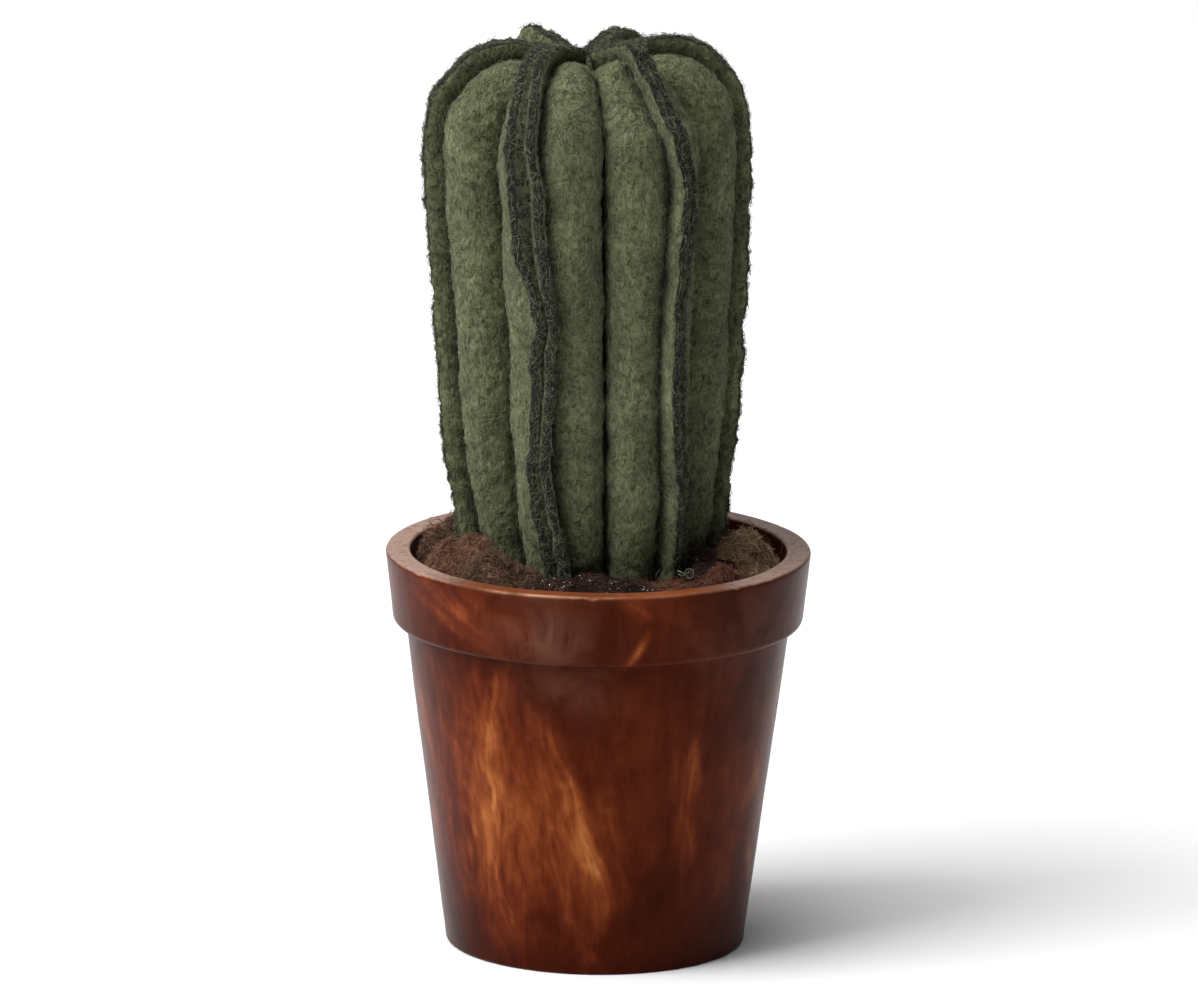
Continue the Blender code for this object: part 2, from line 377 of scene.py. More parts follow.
def brushedAt(azimuth, height, strokes):
    # how light the brushed paint is here; each stroke has its own bristle marks
    perDegree = math.radians(pot["paintRadius"])
    light = 0.0
    for number, ((a0, h0), (a1, h1), width, strength) in enumerate(strokes):
        x, y = aroundFrom(azimuth, a0) * perDegree, height - h0
        dx, dy = (a1 - a0) * perDegree, h1 - h0
        length = math.hypot(dx, dy)
        along = (x * dx + y * dy) / length**2
        off = (x * dy - y * dx) / length
        if abs(off) > 3.0 * width or not -0.5 < along < 1.5:
            continue
        place = Vector((off * 0.28, along * length * 0.16, number * 3.7))
        off += 0.55 * width * noise.noise(place)
        along += 0.25 * noise.noise(place * 1.6 + Vector((7.0, 0.0, 0.0)))
        bristles = noise.noise(Vector((off * 1.3, along * length * 0.16, number * 5.3)))
        bristles += 0.6 * noise.noise(Vector((off * 3.4, along * length * 0.35, number * 9.1)))
        patches = noise.noise(Vector((off * 0.5, along * length * 0.3, number * 2.3 + 40.0)))
        ends = smoothStep(-0.3, 0.4, along) * (1.0 - smoothStep(0.55, 1.25, along))
        spread = math.exp(-((off / width) ** 2))
        amount = strength * ends * spread * (0.66 + 0.55 * bristles + 0.6 * patches)
        light = 1.0 - (1.0 - light) * (1.0 - max(0.0, min(1.0, amount)))
    return light


def hazeAt(azimuth, height):
    # thin milky patches left by a dry brush
    haze = 0.0
    for middle, level, wide, tall, strength in pot["haze"]:
        x = aroundFrom(azimuth, middle) / wide
        y = (height - level) / tall
        haze = max(haze, strength * math.exp(-x * x - y * y))
    return haze


def cornerArc(r, z, radius, start, end, count):
    angles = [math.radians(start + (end - start) * i / count) for i in range(count + 1)]
    return [Vector((r + radius * math.cos(a), z + radius * math.sin(a))) for a in angles]


def straightRun(a, b, count):
    return [a.lerp(b, (i + 1) / (count + 1)) for i in range(count)]


def potProfile():
    # down the outside and under the foot, then from the middle of the floor up the inside
    top, edge = rimHeight, pot["edge"]
    step = top - pot["collarHeight"]
    collar = rimRadius - pot["collarTaper"]
    body = collar - pot["collarStep"]
    corner = pot["collarCorner"]
    rim = cornerArc(rimRadius - edge, top - edge, edge, 90, 4, 6)
    lower = cornerArc(collar - corner, step + corner, corner, 0, -80, 8)
    inset = cornerArc(body + 0.5 * mm, step - 0.3 * mm, 0.5 * mm, 100, 180, 4)
    foot = cornerArc(pot["footRadius"] - edge, edge, edge, 6, -90, 5)
    outside = rim + straightRun(rim[-1], lower[0], pot["collarSteps"]) + lower + inset
    outside += straightRun(inset[-1], foot[0], pot["wallSteps"]) + foot
    outside += straightRun(foot[-1], Vector((0.0, 0.0)), 6)
    floorEdge = Vector((pot["footRadius"] - pot["wall"], pot["floor"]))
    mouth = cornerArc(rimRadius - pot["wall"] + edge, top - edge, edge, 176, 90, 5)
    inside = straightRun(Vector((0.0, pot["floor"])), floorEdge, 4) + [floorEdge]
    inside += straightRun(floorEdge, mouth[0], 16) + mouth
    inside += straightRun(mouth[-1], rim[0], 6)
    return outside, inside


def makePot(material, rimMaterial):
    outside, inside = potProfile()
    turns = pot["turns"]
    strokes = strokesOn()
    chips = [
        (random.uniform(-180, 180), random.uniform(0.3, 0.8) * mm, random.uniform(0.05, 0.16) * mm)
        for _ in range(pot["chips"])
    ]
    chips.append((-1.5, 0.5 * mm, 0.22 * mm))
    made = bmesh.new()
    names = ("brushed", "around", "upward", "dustAndSheen", "wornAndHighlight", "hazy")
    layers = {name: made.verts.layers.float.new(name) for name in names}
    rings = []
    for number, point in enumerate(outside + inside):
        ring = []
        outer = number < len(outside)
        for i in range(turns):
            angle = math.tau * i / turns
            out = Vector((math.cos(angle), math.sin(angle), 0.0))
            place = out * point.x + Vector((0.0, 0.0, point.y))
            azimuth = azimuthOf(place)
            if point.y > 1.0 * mm:
                lump = noise.noise(place * 80.0) + 0.3 * noise.noise(place * 380.0)
                place += out * lump * pot["wobble"]
            nearRim = smoothStep(rimHeight - 1.2 * mm, rimHeight - 0.2 * mm, point.y)
            outerEdge = smoothStep(rimRadius - 1.3 * mm, rimRadius - 0.1 * mm, point.x)
            if nearRim > 0.0:
                place.z += nearRim * noise.noise(out * 2.5) * 0.08 * mm
                for middle, width, depth in chips:
                    gap = math.radians(aroundFrom(azimuth, middle)) * rimRadius / width
                    place.z -= depth * nearRim * outerEdge * math.exp(-gap * gap)
            vert = made.verts.new(place)
            vert[layers["brushed"]] = brushedAt(azimuth, point.y / mm, strokes) if outer else 0.0
            vert[layers["hazy"]] = hazeAt(azimuth, point.y / mm) if outer else 0.0
            halfway = abs(aroundFrom(azimuth, 180.0))
            vert[layers["around"]] = halfway * math.radians(pot["paintRadius"])
            vert[layers["upward"]] = point.y / mm
            # dust and a painted pale reflection lie on the rim's top, stronger on the left, which
            # faces the light, than on the right; the front is left almost clear of them
            dustAndSheenTop = smoothStep(rimHeight - 0.25 * mm, rimHeight - 0.02 * mm, point.y)
            frontClear = smoothStep(-56.0, -34.0, azimuth) * (1.0 - smoothStep(26.0, 50.0, azimuth))
            paler = between(pot["dustAndSheen"], azimuth)
            vert[layers["dustAndSheen"]] = dustAndSheenTop * (1.0 - 0.93 * frontClear) * paler
            if point.y > rimHeight - 0.02 * mm:
                vert[layers["brushed"]] = 0.45 * frontClear
            # a thin pale line on the rim's outer edge: worn paint, and a painted highlight where it is
            # strongest, at the front left
            edgeOff = (point - Vector((rimRadius - 0.2 * mm, rimHeight))).length / (0.24 * mm)
            bright = between(pot["wornEdgeAndHighlight"], azimuth)
            vert[layers["wornAndHighlight"]] = bright * math.exp(-edgeOff * edgeOff)
            ring.append(vert)
        rings.append(ring)
    seam = len(outside) - 1
    for number, (upper, lower) in enumerate(zip(rings, rings[1:] + rings[:1])):
        for i in range(turns):
            j = (i + 1) % turns
            if number != seam:  # foot and floor are closed round their own middles
                face = made.faces.new((upper[i], lower[i], lower[j], upper[j]))
                level = (upper[i].co.z + lower[i].co.z) / 2
                face.material_index = 1 if level > rimHeight - 0.32 * mm else 0
    for ring, height in ((rings[seam], 0.0), (rings[seam + 1], pot["floor"])):
        centre = made.verts.new((0.0, 0.0, height))
        for i in range(turns):
            made.faces.new((ring[i], ring[(i + 1) % turns], centre))
    obj = pieceFrom(made, "potPainted", material)
    obj.data.materials.append(rimMaterial)
    finishPiece(obj, "pot_paint", "pot")


def potPaint(name, shine, tint):
    # tint holds back the shine where the wall faces outwards; the rim keeps more of it
    material, tree, shader = newMaterial(
        name, 0.36, IOR=1.45, Specular_IOR_Level=shine, Specular_Tint=(*tint, 1.0)
    )
    upward = attributeOf(tree, "upward")
    drawnOut = mathOf(tree, "MULTIPLY", upward, 0.16)
    brushWay = {"X": attributeOf(tree, "around"), "Y": drawnOut}
    upright = addNode(tree, "ShaderNodeCombineXYZ", brushWay).outputs[0]
    streaks = noiseOf(tree, upright, 0.45, 4.0, 0.62, 0.9)
    hairs = noiseOf(tree, upright, 2.6, 3.0, 0.6, 0.8)
    solid = objectCoords(tree)
    broad = noiseOf(tree, objectCoords(tree, (1.0, 1.0, 0.6)), 48.0, 3.0, 0.55, 0.8)
    tilted = objectCoords(tree, (1.0, 1.0, 0.7), (0.3, 0.3, 0.0))
    cloud = noiseOf(tree, tilted, 150.0, 4.0, 0.62, 0.8)
    mottle = noiseOf(tree, solid, 520.0, 4.0, 0.62, 0.5)
    # the more of these, the lighter the paint
    brushed = attributeOf(tree, "brushed")
    marks = (
        (streaks, 0.20), (broad, 0.48), (cloud, 0.34), (hairs, 0.10), (mottle, 0.12), (brushed, 0.74),
    )
    level = -0.36
    for mark, amount in marks:
        level = mathOf(tree, "MULTIPLY_ADD", mark, amount, level)
    level = mathOf(tree, "ADD", level, mapOf(tree, upward, 2.0, 15.0, (-0.13, 0.0)))
    painted = rampOf(
        tree,
        level,
        [
            (0.12, (0.030, 0.0040, 0.0012)),
            (0.28, (0.056, 0.0085, 0.0026)),
            (0.44, (0.102, 0.0180, 0.0052)),
            (0.62, (0.175, 0.0400, 0.0105)),
            (0.82, (0.285, 0.0850, 0.0230)),
            (1.00, (0.400, 0.1480, 0.0470)),
        ],
    )
    patchy = rampOf(tree, cloud, [(0.36, (0.15, 0.15, 0.15)), (0.56, (1, 1, 1))])
    haze = mathOf(tree, "MULTIPLY", attributeOf(tree, "hazy"), patchy)
    painted = mixOf(tree, haze, painted, (0.135, 0.058, 0.038))
    # the pale orange line on the rim's edge: worn paint, and a painted highlight
    edgeNoise = noiseOf(tree, solid, 160.0, 4.0, 0.6)
    wornAndHighlightBreakup = rampOf(tree, edgeNoise, [(0.42, (0.15, 0.15, 0.15)), (0.56, (1, 1, 1))])
    wornAndHighlightPart = mathOf(tree, "MULTIPLY", attributeOf(tree, "wornAndHighlight"), wornAndHighlightBreakup)
    painted = mixOf(tree, wornAndHighlightPart, painted, (0.62, 0.36, 0.20))
    # dust on the rim's top, and a painted pale reflection of the backdrop, in one colour
    speck = noiseOf(tree, solid, 1300.0, 4.0, 0.65)
    dustAndSheenBreakup = rampOf(tree, speck, [(0.34, (0.35, 0.35, 0.35)), (0.50, (1, 1, 1))])
    topPart = mathOf(tree, "MULTIPLY", attributeOf(tree, "dustAndSheen"), dustAndSheenBreakup)
    colour = mixOf(tree, topPart, painted, (0.315, 0.198, 0.150))
    tree.links.new(colour, shader.inputs["Base Color"])
    rough = mapOf(tree, mottle, 0.0, 1.0, (0.24, 0.40))
    tree.links.new(rough, shader.inputs["Roughness"])
    bumpInto(tree, shader, mathOf(tree, "ADD", hairs, mottle), 0.05 * mm, 0.45)
    return material


# felt cactus

cactus = {
    "ribs": 6,
    "firstRib": -82.0,
    "radius": 21.5 * mm,
    "height": 68.0 * mm,
    "rootDepth": 13.0 * mm,  # how far it stands down in the pot
    "shift": -0.85 * mm,
    "lean": -1.2,  # degrees about Y
    "felt": 1.45 * mm,
    "seamMargin": 3.2 * mm,  # from the raw edges in to the stitches
    "clear": 0.15 * mm,  # half the gap between two ribs
    "shoulder": 0.70,  # share of the height where the sections begin to fan out
    "fold": 4.0 * mm,  # from the axis to the inner fold, and the same at the crown
    "topFold": 10.0 * mm,
    "rows": 270,
}

# a rib's crest from its root to the centre, as shares of the radius and the height
crestMarks = (
    (0.80, 0.0),
    (0.865, 0.13),
    (0.91, 0.27),
    (0.945, 0.45),
    (0.98, 0.62),
    (1.0, 0.775),
    (0.97, 0.86),
    (0.93, 0.90),
    (0.865, 0.935),
    (0.77, 0.967),
    (0.67, 0.987),
    (0.48, 1.000),
    (0.28, 0.990),
    (0.13, 0.976),
)

# each rib against the share of its crest's length from the root: how far its raw edges sway,
# in degrees; how wide its two layers part, in mm; how far the edges bend over, in degrees; how
# sharp its upper corner is; how much higher its crown is, in mm; and for its two sides how deep
# the lobe runs and how tight the stitch pulls
ribHabits = (
    {
        "sway": ((0.1, 1.0), (0.35, -1.5), (0.6, 1.0), (0.8, -1.0), (1.0, 0.0)),
        "part": ((0.0, 0.1), (0.4, 0.5), (0.7, 0.15), (0.9, 0.5), (1.0, 0.2)),
        "bend": ((0.0, -10.0), (0.5, -14.0), (1.0, 0.0)),
        "corner": 0.1,
        "crown": -0.4,
        "depth": (0.58, 0.56),
        "pinch": (1.0, 0.9),
    },
    {
        "sway": ((0.10, 8.5), (0.15, 5.8), (0.20, 4.0), (0.24, 2.2), (0.32, 0.5), (0.39, 3.5),
                 (0.44, 3.8), (0.49, 5.2), (0.53, 4.0), (0.60, 0.6), (0.675, 0.0), (0.78, -1.5),
                 (0.88, -4.0), (1.0, -3.0)),
        "part": ((0.1, 0.5), (0.2, 0.7), (0.32, 0.3), (0.45, 0.6), (0.52, 0.3), (0.60, 1.6),
                 (0.68, 2.2), (0.76, 1.2), (0.88, 0.5), (1.0, 0.2)),
        "bend": ((0.0, 0.0), (0.3, 3.0), (0.5, 8.0), (0.7, -3.0), (1.0, 0.0)),
        "corner": 0.3,
        "crown": 0.0,
        "depth": (0.50, 0.80),
        "pinch": (1.0, 1.9),
    },
    {
        "sway": ((0.14, 1.2), (0.24, 0.6), (0.32, -3.4), (0.39, -4.8), (0.50, -4.4), (0.58, -3.0),
                 (0.65, -1.4), (0.69, -1.2), (0.73, -3.2), (0.78, -5.0), (0.88, -3.0), (1.0, 0.0)),
        "part": ((0.0, 0.05), (0.3, 0.3), (0.5, 0.1), (0.7, 0.2), (0.85, 0.05), (1.0, 0.1)),
        "bend": ((0.0, 18.0), (0.15, 25.0), (0.45, 25.0), (0.62, 22.0), (0.75, 14.0), (1.0, 0.0)),
        "corner": 1.0,
        "crown": 0.0,
        "depth": (0.80, 0.47),
        "pinch": (1.9, 0.9),
    },
    {
        "sway": ((0.1, -1.0), (0.3, 1.5), (0.55, -1.0), (0.75, 1.5), (1.0, 0.0)),
        "part": ((0.0, 0.1), (0.3, 0.2), (0.6, 0.7), (0.8, 0.2), (1.0, 0.1)),
        "bend": ((0.0, -4.0), (0.5, 4.0), (1.0, 0.0)),
        "corner": 0.0,
        "crown": -0.4,
        "depth": (0.52, 0.57),
        "pinch": (1.2, 0.9),
    },
    {
        "sway": ((0.1, 2.0), (0.35, -1.0), (0.6, 2.0), (0.8, -1.0), (1.0, 1.0)),
        "part": ((0.0, 0.2), (0.3, 0.8), (0.5, 0.2), (0.8, 0.6), (1.0, 0.1)),
        "bend": ((0.0, 5.0), (0.4, -6.0), (1.0, 0.0)),
        "corner": 0.0,
        "crown": -1.3,
        "depth": (0.50, 0.62),
        "pinch": (1.0, 1.3),
    },
    {
        "sway": ((0.1, -2.0), (0.3, 1.0), (0.5, -1.5), (0.75, 1.0), (1.0, 0.0)),
        "part": ((0.0, 0.1), (0.4, 0.2), (0.6, 1.0), (0.8, 0.3), (1.0, 0.1)),
        "bend": ((0.0, -5.0), (0.5, 7.0), (0.72, 0.0), (0.84, -24.0), (1.0, -20.0)),
        "corner": 0.9,
        "crown": -1.4,
        "depth": (0.60, 0.50),
        "pinch": (1.0, 0.9),
    },
)

feltLumps = {
    "groove": 0.2,
    "cut": 0.9,
    "flange": 0.7,
    "lobe": 1.0,
    "inside": 0.0,
}
fuzzShares = {
    "groove": 0.0,
    "cut": 0.30,
    "flange": 0.8,
    "lobe": 1.0,
    "inside": 0.0,
}


def leanIn(point, turn):
    # from a rib's own frame to the object's
    spun = Euler((0.0, 0.0, turn)).to_matrix() @ point
    leaned = Euler((0.0, math.radians(cactus["lean"]), 0.0)).to_matrix() @ spun
    return leaned + Vector((cactus["shift"], 0.0, rimHeight))


def ribTurn(number):
    return math.radians(cactus["firstRib"] + 360.0 / cactus["ribs"] * number - 90.0)


def crestRun(habit):
    size = Vector((cactus["radius"], cactus["height"]))
    marks = [Vector((r, h)) * size for r, h in crestMarks]
    root = Vector((marks[0].x * 0.85, -cactus["rootDepth"]))
    corner = Vector((0.535, 1.008)) * size
    side = marks[6]
    for i in range(7, 11):  # a cut corner runs straight from the side to the top corner
        cutLine = side.lerp(corner, (i - 6) / 5)
        marks[i] = marks[i].lerp(cutLine, 0.75 * habit["corner"])
    marks[11] = marks[11].lerp(corner, habit["corner"])
    for i in range(8, 14):
        marks[i] = marks[i] + Vector((0.0, habit["crown"] * mm))
    return evenSteps(curvedThrough([root] + marks, 10), cactus["rows"])


def sectionOf(crest):
    # the plane that a rib's section lies in: rays fan out over the top
    fan = cactus["shoulder"] * cactus["height"]
    base = min(crest.y, fan)
    ray = Vector((crest.x, crest.y - base))
    out = ray.normalized()
    fold = cactus["fold"] + (cactus["topFold"] - cactus["fold"]) * out.y**2
    return {"base": base, "out": out, "reach": ray.length, "fold": fold}


def wedgeHalf(section, s, inset=0.0):
    slope = section["out"].x * math.tan(math.pi / cactus["ribs"])
    return s * slope - (cactus["clear"] + inset) * math.hypot(1.0, slope)


def lobeArc(section, seam, seamHalf, depth, inset, count):
    # the round shoulder of a lobe, tangent to the plane where it meets its neighbour
    slope = section["out"].x * math.tan(math.pi / cactus["ribs"])
    contact = seam - depth * wedgeHalf(section, seam)
    touch = Vector((contact, wedgeHalf(section, contact)))
    start = Vector((seam, seamHalf))
    inward = Vector((slope, -1.0)).normalized()
    radius = -(touch - start).length_squared / (2 * inward.dot(touch - start))
    centre = touch + radius * inward
    first = math.atan2(start.y - centre.y, start.x - centre.x)
    last = math.atan2(-inward.y, -inward.x)
    run = []
    for i in range(count + 1):
        angle = first + (last - first) * i / count
        run.append(centre + (radius - inset) * Vector((math.cos(angle), math.sin(angle))))
    return run


def ribSide(section, left, share, habit, number):
    # one side of a rib's section, from between its two layers round to the inner fold:
    # (s, y, zone, share across the cut edge)
    side = -1.0 if left else 1.0
    felt = cactus["felt"]
    reach = section["reach"]
    parted = between(habit["part"], share) * mm / 2
    squeeze = min(1.0, 0.92 * wedgeHalf(section, reach) / (parted + felt))
    felt, parted = felt * squeeze, parted * squeeze
    rough = noise.noise(Vector((share * 26.0, side * 3.0, number * 7.0)))
    rough += 0.7 * noise.noise(Vector((share * 75.0, side * 5.0, number * 9.0)))
    rough += 0.4 * noise.noise(Vector((share * 190.0, side * 6.0, number * 4.0)))
    tip = reach + 0.34 * mm * rough - 0.22 * mm
    seam = reach - cactus["seamMargin"]
    limit = 0.30 * wedgeHalf(section, seam)
    sway = math.radians(between(habit["sway"], share)) * reach
    sway += 0.50 * mm * noise.noise(Vector((share * 17.0, 4.0, number * 3.0)))
    sway += 0.26 * mm * noise.noise(Vector((share * 48.0, 8.0, number * 5.0)))
    sway = max(-limit, min(limit, sway)) * side
    hold = 0.6 * sway  # the stitch line sways less than the edges
    top = parted + 0.03 * mm + felt
    pinch = min(habit["pinch"][left] * mm, 0.7 * wedgeHalf(section, seam))
    pinch = min(pinch, top) * squeeze
    gap = (0.7 * mm + 1.2 * parted) * squeeze
    run = [(tip - gap, 0.0, "groove", 0.0)]
    run += [(tip - 0.4 * gap, 0.5 * parted + 0.02 * mm, "groove", 0.0)]
    for i in range(8):
        across = i / 7
        rounding = 0.22 * mm * (2 * across - 1) ** 4
        run.append((tip - rounding, parted + 0.03 * mm + felt * across, "cut", across))
    edge = tip - 0.22 * mm
    for i in range(1, 12):
        down = i / 12
        y = top + (pinch - top) * smoothStep(0.1, 1.0, down)
        run.append((edge + (seam - edge) * down, y, "flange", 1.0))
    swayed = []
    for s, y, zone, across in run:
        lean = smoothStep(seam, reach, s)
        bend = math.radians(between(habit["bend"], share)) * side * lean**0.6
        bent = (s - seam) * math.sin(bend) + y * math.cos(bend)
        s = seam + (s - seam) * math.cos(bend) - y * math.sin(bend)
        swayed.append((s, bent + hold + (sway - hold) * lean, zone, across))
    depth = habit["depth"][left]
    depth += 0.05 * noise.noise(Vector((share * 5.0, side * 2.0, number * 4.0)))
    arc = lobeArc(section, seam, pinch + hold, depth, 0.0, 30)
    swayed += [(point.x, point.y, "lobe", 1.0) for point in arc]
    contact = arc[-1].x
    corner = section["fold"] + 0.8 * mm
    for i in range(1, 4):
        s = contact + (corner - contact) * i / 3
        swayed.append((s, wedgeHalf(section, s), "inside", 1.0))
    swayed.append((section["fold"], 0.0, "inside", 1.0))
    return swayed


def pocketSide(section, inset, count):
    # one side of the space inside the felt
    seam = section["reach"] - cactus["seamMargin"]
    arc = lobeArc(section, seam, min(1.0 * mm, 0.6 * wedgeHalf(section, seam)), 0.66, inset, count)
    arc = [point for point in arc if point.y > 0.2 * mm]
    fold = section["fold"] + inset
    corner = fold + 0.8 * mm
    run = [(max(point.x for point in arc), 0.0)] + [(point.x, point.y) for point in arc]
    return run + [(corner, wedgeHalf(section, corner, inset)), (fold, 0.0)]


def placeIn(section, s, y):
    return Vector((s * section["out"].x, y, section["base"] + s * section["out"].y))


def stackLoops(made, loops, turn):
    rings = []
    for loop in loops:
        rings.append([made.verts.new(leanIn(point, turn)) for point in loop])
    bridgeRings(made, rings)
    made.faces.new(rings[-1])
    return rings


def pocketLoops(sections, inset, count):
    loops = []
    for section in sections:
        seam = section["reach"] - cactus["seamMargin"]
        if wedgeHalf(section, seam * 0.7, inset) < 1.4 * mm:
            continue
        half = pocketSide(section, inset, count)
        mirrored = [(s, -y) for s, y in reversed(half[1:-1])]
        loops.append([placeIn(section, s, y) for s, y in half + mirrored])
    return loops


def feltRib(number, material):
    habit = ribHabits[number]
    turn = ribTurn(number)
    felt = cactus["felt"]
    sections = [sectionOf(crest) for crest in crestRun(habit)]
    made = bmesh.new()
    names = ("cutAcross", "cutEdge", "fuzzShare", "edgeShare", "crease")
    layers = {name: made.verts.layers.float.new(name) for name in names}
    rings = []
    tags = []
    for row, section in enumerate(sections):
        share = row / (len(sections) - 1)
        right = ribSide(section, False, share, habit, number)
        left = ribSide(section, True, share, habit, number)
        middle = (right[0][0] + left[0][0]) / 2
        right[0] = (middle, (right[0][1] - left[0][1]) / 2, "groove", 0.0)
        loop = right + [(s, -y, zone, across) for s, y, zone, across in reversed(left[1:-1])]
        seam = section["reach"] - cactus["seamMargin"]
        ring = []
        for spot, (s, y, zone, across) in enumerate(loop):
            tight = max(0.0, min(1.0, 2.0 - habit["pinch"][spot > len(right)]))
            vert = made.verts.new(leanIn(placeIn(section, s, y), turn))
            vert[layers["cutAcross"]] = across
            vert[layers["cutEdge"]] = 1.0 if zone in ("cut", "groove") else 0.0
            shown = smoothStep(-3.2 * mm, -1.8 * mm, vert.co.z - rimHeight)
            vert[layers["fuzzShare"]] = fuzzShares[zone] * shown
            vert[layers["edgeShare"]] = shown if zone == "cut" else 0.0
            # painted shade: crease darkens the felt by the stitches, where the lobe pulls in, and all
            # its inside faces, less where the crown lies open to the light
            held = min(habit["pinch"][spot > len(right)] * mm, felt + 0.4 * mm)
            near = math.hypot(s - seam, max(0.0, abs(y) - held)) / (1.15 * mm)
            deep = 1.0 if zone == "inside" else tight * math.exp(-near * near)
            deep *= 1.0 - 0.75 * section["out"].y ** 2  # the crown lies open to the light
            vert[layers["crease"]] = deep if zone != "cut" else 0.0
            ring.append(vert)
            tags.append(zone)
        rings.append(ring)
    bridgeRings(made, rings)
    made.faces.new(rings[-1])
    bmesh.ops.recalc_face_normals(made, faces=made.faces)
    made.normal_update()
    # the felt's own lumps and pits
    moves = []
    for vert, zone in zip(made.verts, tags):
        lump = noise.noise(vert.co * 150.0) * 0.42 + noise.noise(vert.co * 430.0) * 0.22
        lump += noise.noise(vert.co * 1200.0) * 0.15 + noise.noise(vert.co * 2300.0) * 0.12
        moves.append(vert.normal * (lump - 0.1) * mm * feltLumps[zone])
    for vert, move in zip(list(made.verts), moves):
        vert.co += move
    inner = stackLoops(made, pocketLoops(sections[::14], cactus["felt"], 6), turn)[0]
    # its pocket is open at the root: the rim runs from the outer skin to the inner one
    rims = []
    for ring in (rings[0], inner):
        rims += [made.edges.get((ring[i - 1], ring[i])) for i in range(len(ring))]
    bmesh.ops.triangle_fill(made, use_dissolve=False, use_beauty=True, edges=rims)
    obj = pieceFrom(made, f"feltRib{number + 1}", material)
    finishPiece(obj, "felt", f"rib_felt_{number + 1}")
    return obj


def stuffingIn(number, material):
    # a lumpy wad of fibre, a little smaller than the pocket that it fills
    sections = [sectionOf(crest) for crest in crestRun(ribHabits[number])][::6]
    made = bmesh.new()
    rings = stackLoops(made, pocketLoops(sections, cactus["felt"] + 0.45 * mm, 8), ribTurn(number))
    made.faces.new(rings[0])
    bmesh.ops.recalc_face_normals(made, faces=made.faces)
    made.normal_update()
    for vert in made.verts:
        lump = noise.noise(vert.co * 300.0) * 0.3 + noise.noise(vert.co * 900.0) * 0.15
        vert.co += vert.normal * (lump - 0.3) * mm
    obj = pieceFrom(made, f"ribStuffing{number + 1}", material)
    finishPiece(obj, "stuffing", f"rib_stuffing_{number + 1}")


def feltGreen(name, pale, pit, fibre):
    material, tree, shader = newMaterial(name, 0.95, sheen=0.05, Sheen_Roughness=0.6, IOR=1.3)
    solid = objectCoords(tree)
    streaky = objectCoords(tree, (1.0, 1.0, 0.30))
    cloud = noiseOf(tree, solid, 150.0, 3.0)
    fine = noiseOf(tree, solid, 1000.0, 4.0, 0.68, 0.9)
    strands = noiseOf(tree, streaky, 1500.0, 3.0, 0.6, 2.2)
    body = rampOf(tree, fine, [(0.32, pit), (0.49, pale), (0.72, fibre)])
    streakPart = rampOf(tree, strands, [(0.50, (0, 0, 0)), (0.64, (0.55, 0.55, 0.55))])
    body = mixOf(tree, streakPart, body, fibre)
    pitPart = rampOf(tree, strands, [(0.34, (0.45, 0.45, 0.45)), (0.44, (0, 0, 0))])
    body = mixOf(tree, pitPart, body, pit)
    shade = rampOf(tree, cloud, [(0.34, (0.68, 0.70, 0.66)), (0.64, (1.14, 1.14, 1.12))])
    body = mixOf(tree, 1.0, body, shade, "MULTIPLY")
    # painted shade: the felt is darkened towards this colour in the creases by the stitches
    creased = mixOf(tree, 1.0, body, (0.22, 0.23, 0.19), "MULTIPLY")
    body = mixOf(tree, attributeOf(tree, "crease"), body, creased)
    # the cut edge: a thin pale skin on each face of the felt and a charcoal core
    across = attributeOf(tree, "cutAcross")
    jitter = mathOf(tree, "MULTIPLY_ADD", fine, 0.7, across)
    charcoal = (0.0028, 0.0030, 0.0018), (0.012, 0.013, 0.0075), (0.060, 0.065, 0.036)
    core = rampOf(tree, strands, list(zip((0.38, 0.54, 0.68), charcoal)))
    rim = rampOf(tree, jitter, [(0.30, (0.9, 0.9, 0.9)), (0.42, (0, 0, 0))])
    cut = mixOf(tree, rim, core, pale)
    outerRim = rampOf(tree, jitter, [(1.24, (0, 0, 0)), (1.36, (0.8, 0.8, 0.8))])
    cut = mixOf(tree, outerRim, cut, pale)
    colour = mixOf(tree, attributeOf(tree, "cutEdge"), body, cut)
    tree.links.new(colour, shader.inputs["Base Color"])
    bumpInto(tree, shader, mathOf(tree, "ADD", fine, strands), 0.5 * mm, 1.0)
    return material


def fibreLook(name, dark, light):
    material, tree, shader = newMaterial(name, 0.85, sheen=0.1, Sheen_Roughness=0.5, IOR=1.3)
    cloud = noiseOf(tree, objectCoords(tree), 420.0, 2.0)
    mixed = mathOf(tree, "MULTIPLY_ADD", cloud, 0.6, attributeOf(tree, "strand"))
    colour = rampOf(tree, mathOf(tree, "MULTIPLY", mixed, 0.625), [(0.15, dark), (0.85, light)])
    tree.links.new(colour, shader.inputs["Base Color"])
    return material


# things that repeat


def newTree(name, inputs):
    tree = bpy.data.node_groups.new(name, "GeometryNodeTree")
    face = tree.interface
    face.new_socket("Geometry", in_out="INPUT", socket_type="NodeSocketGeometry")
    for label, kind in inputs:
        face.new_socket(label, in_out="INPUT", socket_type=f"NodeSocket{kind}")
    face.new_socket("Geometry", in_out="OUTPUT", socket_type="NodeSocketGeometry")
    return tree, addNode(tree, "NodeGroupInput").outputs


def endTree(tree, geometry, material):
    real = addNode(tree, "GeometryNodeRealizeInstances", {0: geometry}).outputs[0]
    done = addNode(tree, "GeometryNodeSetMaterial", {"Geometry": real, "Material": material})
    addNode(tree, "NodeGroupOutput", {0: done.outputs[0]})
    return tree


def namedValue(tree, name):
    node = addNode(tree, "GeometryNodeInputNamedAttribute", {"Name": name}, data_type="FLOAT")
    return node.outputs["Attribute"]


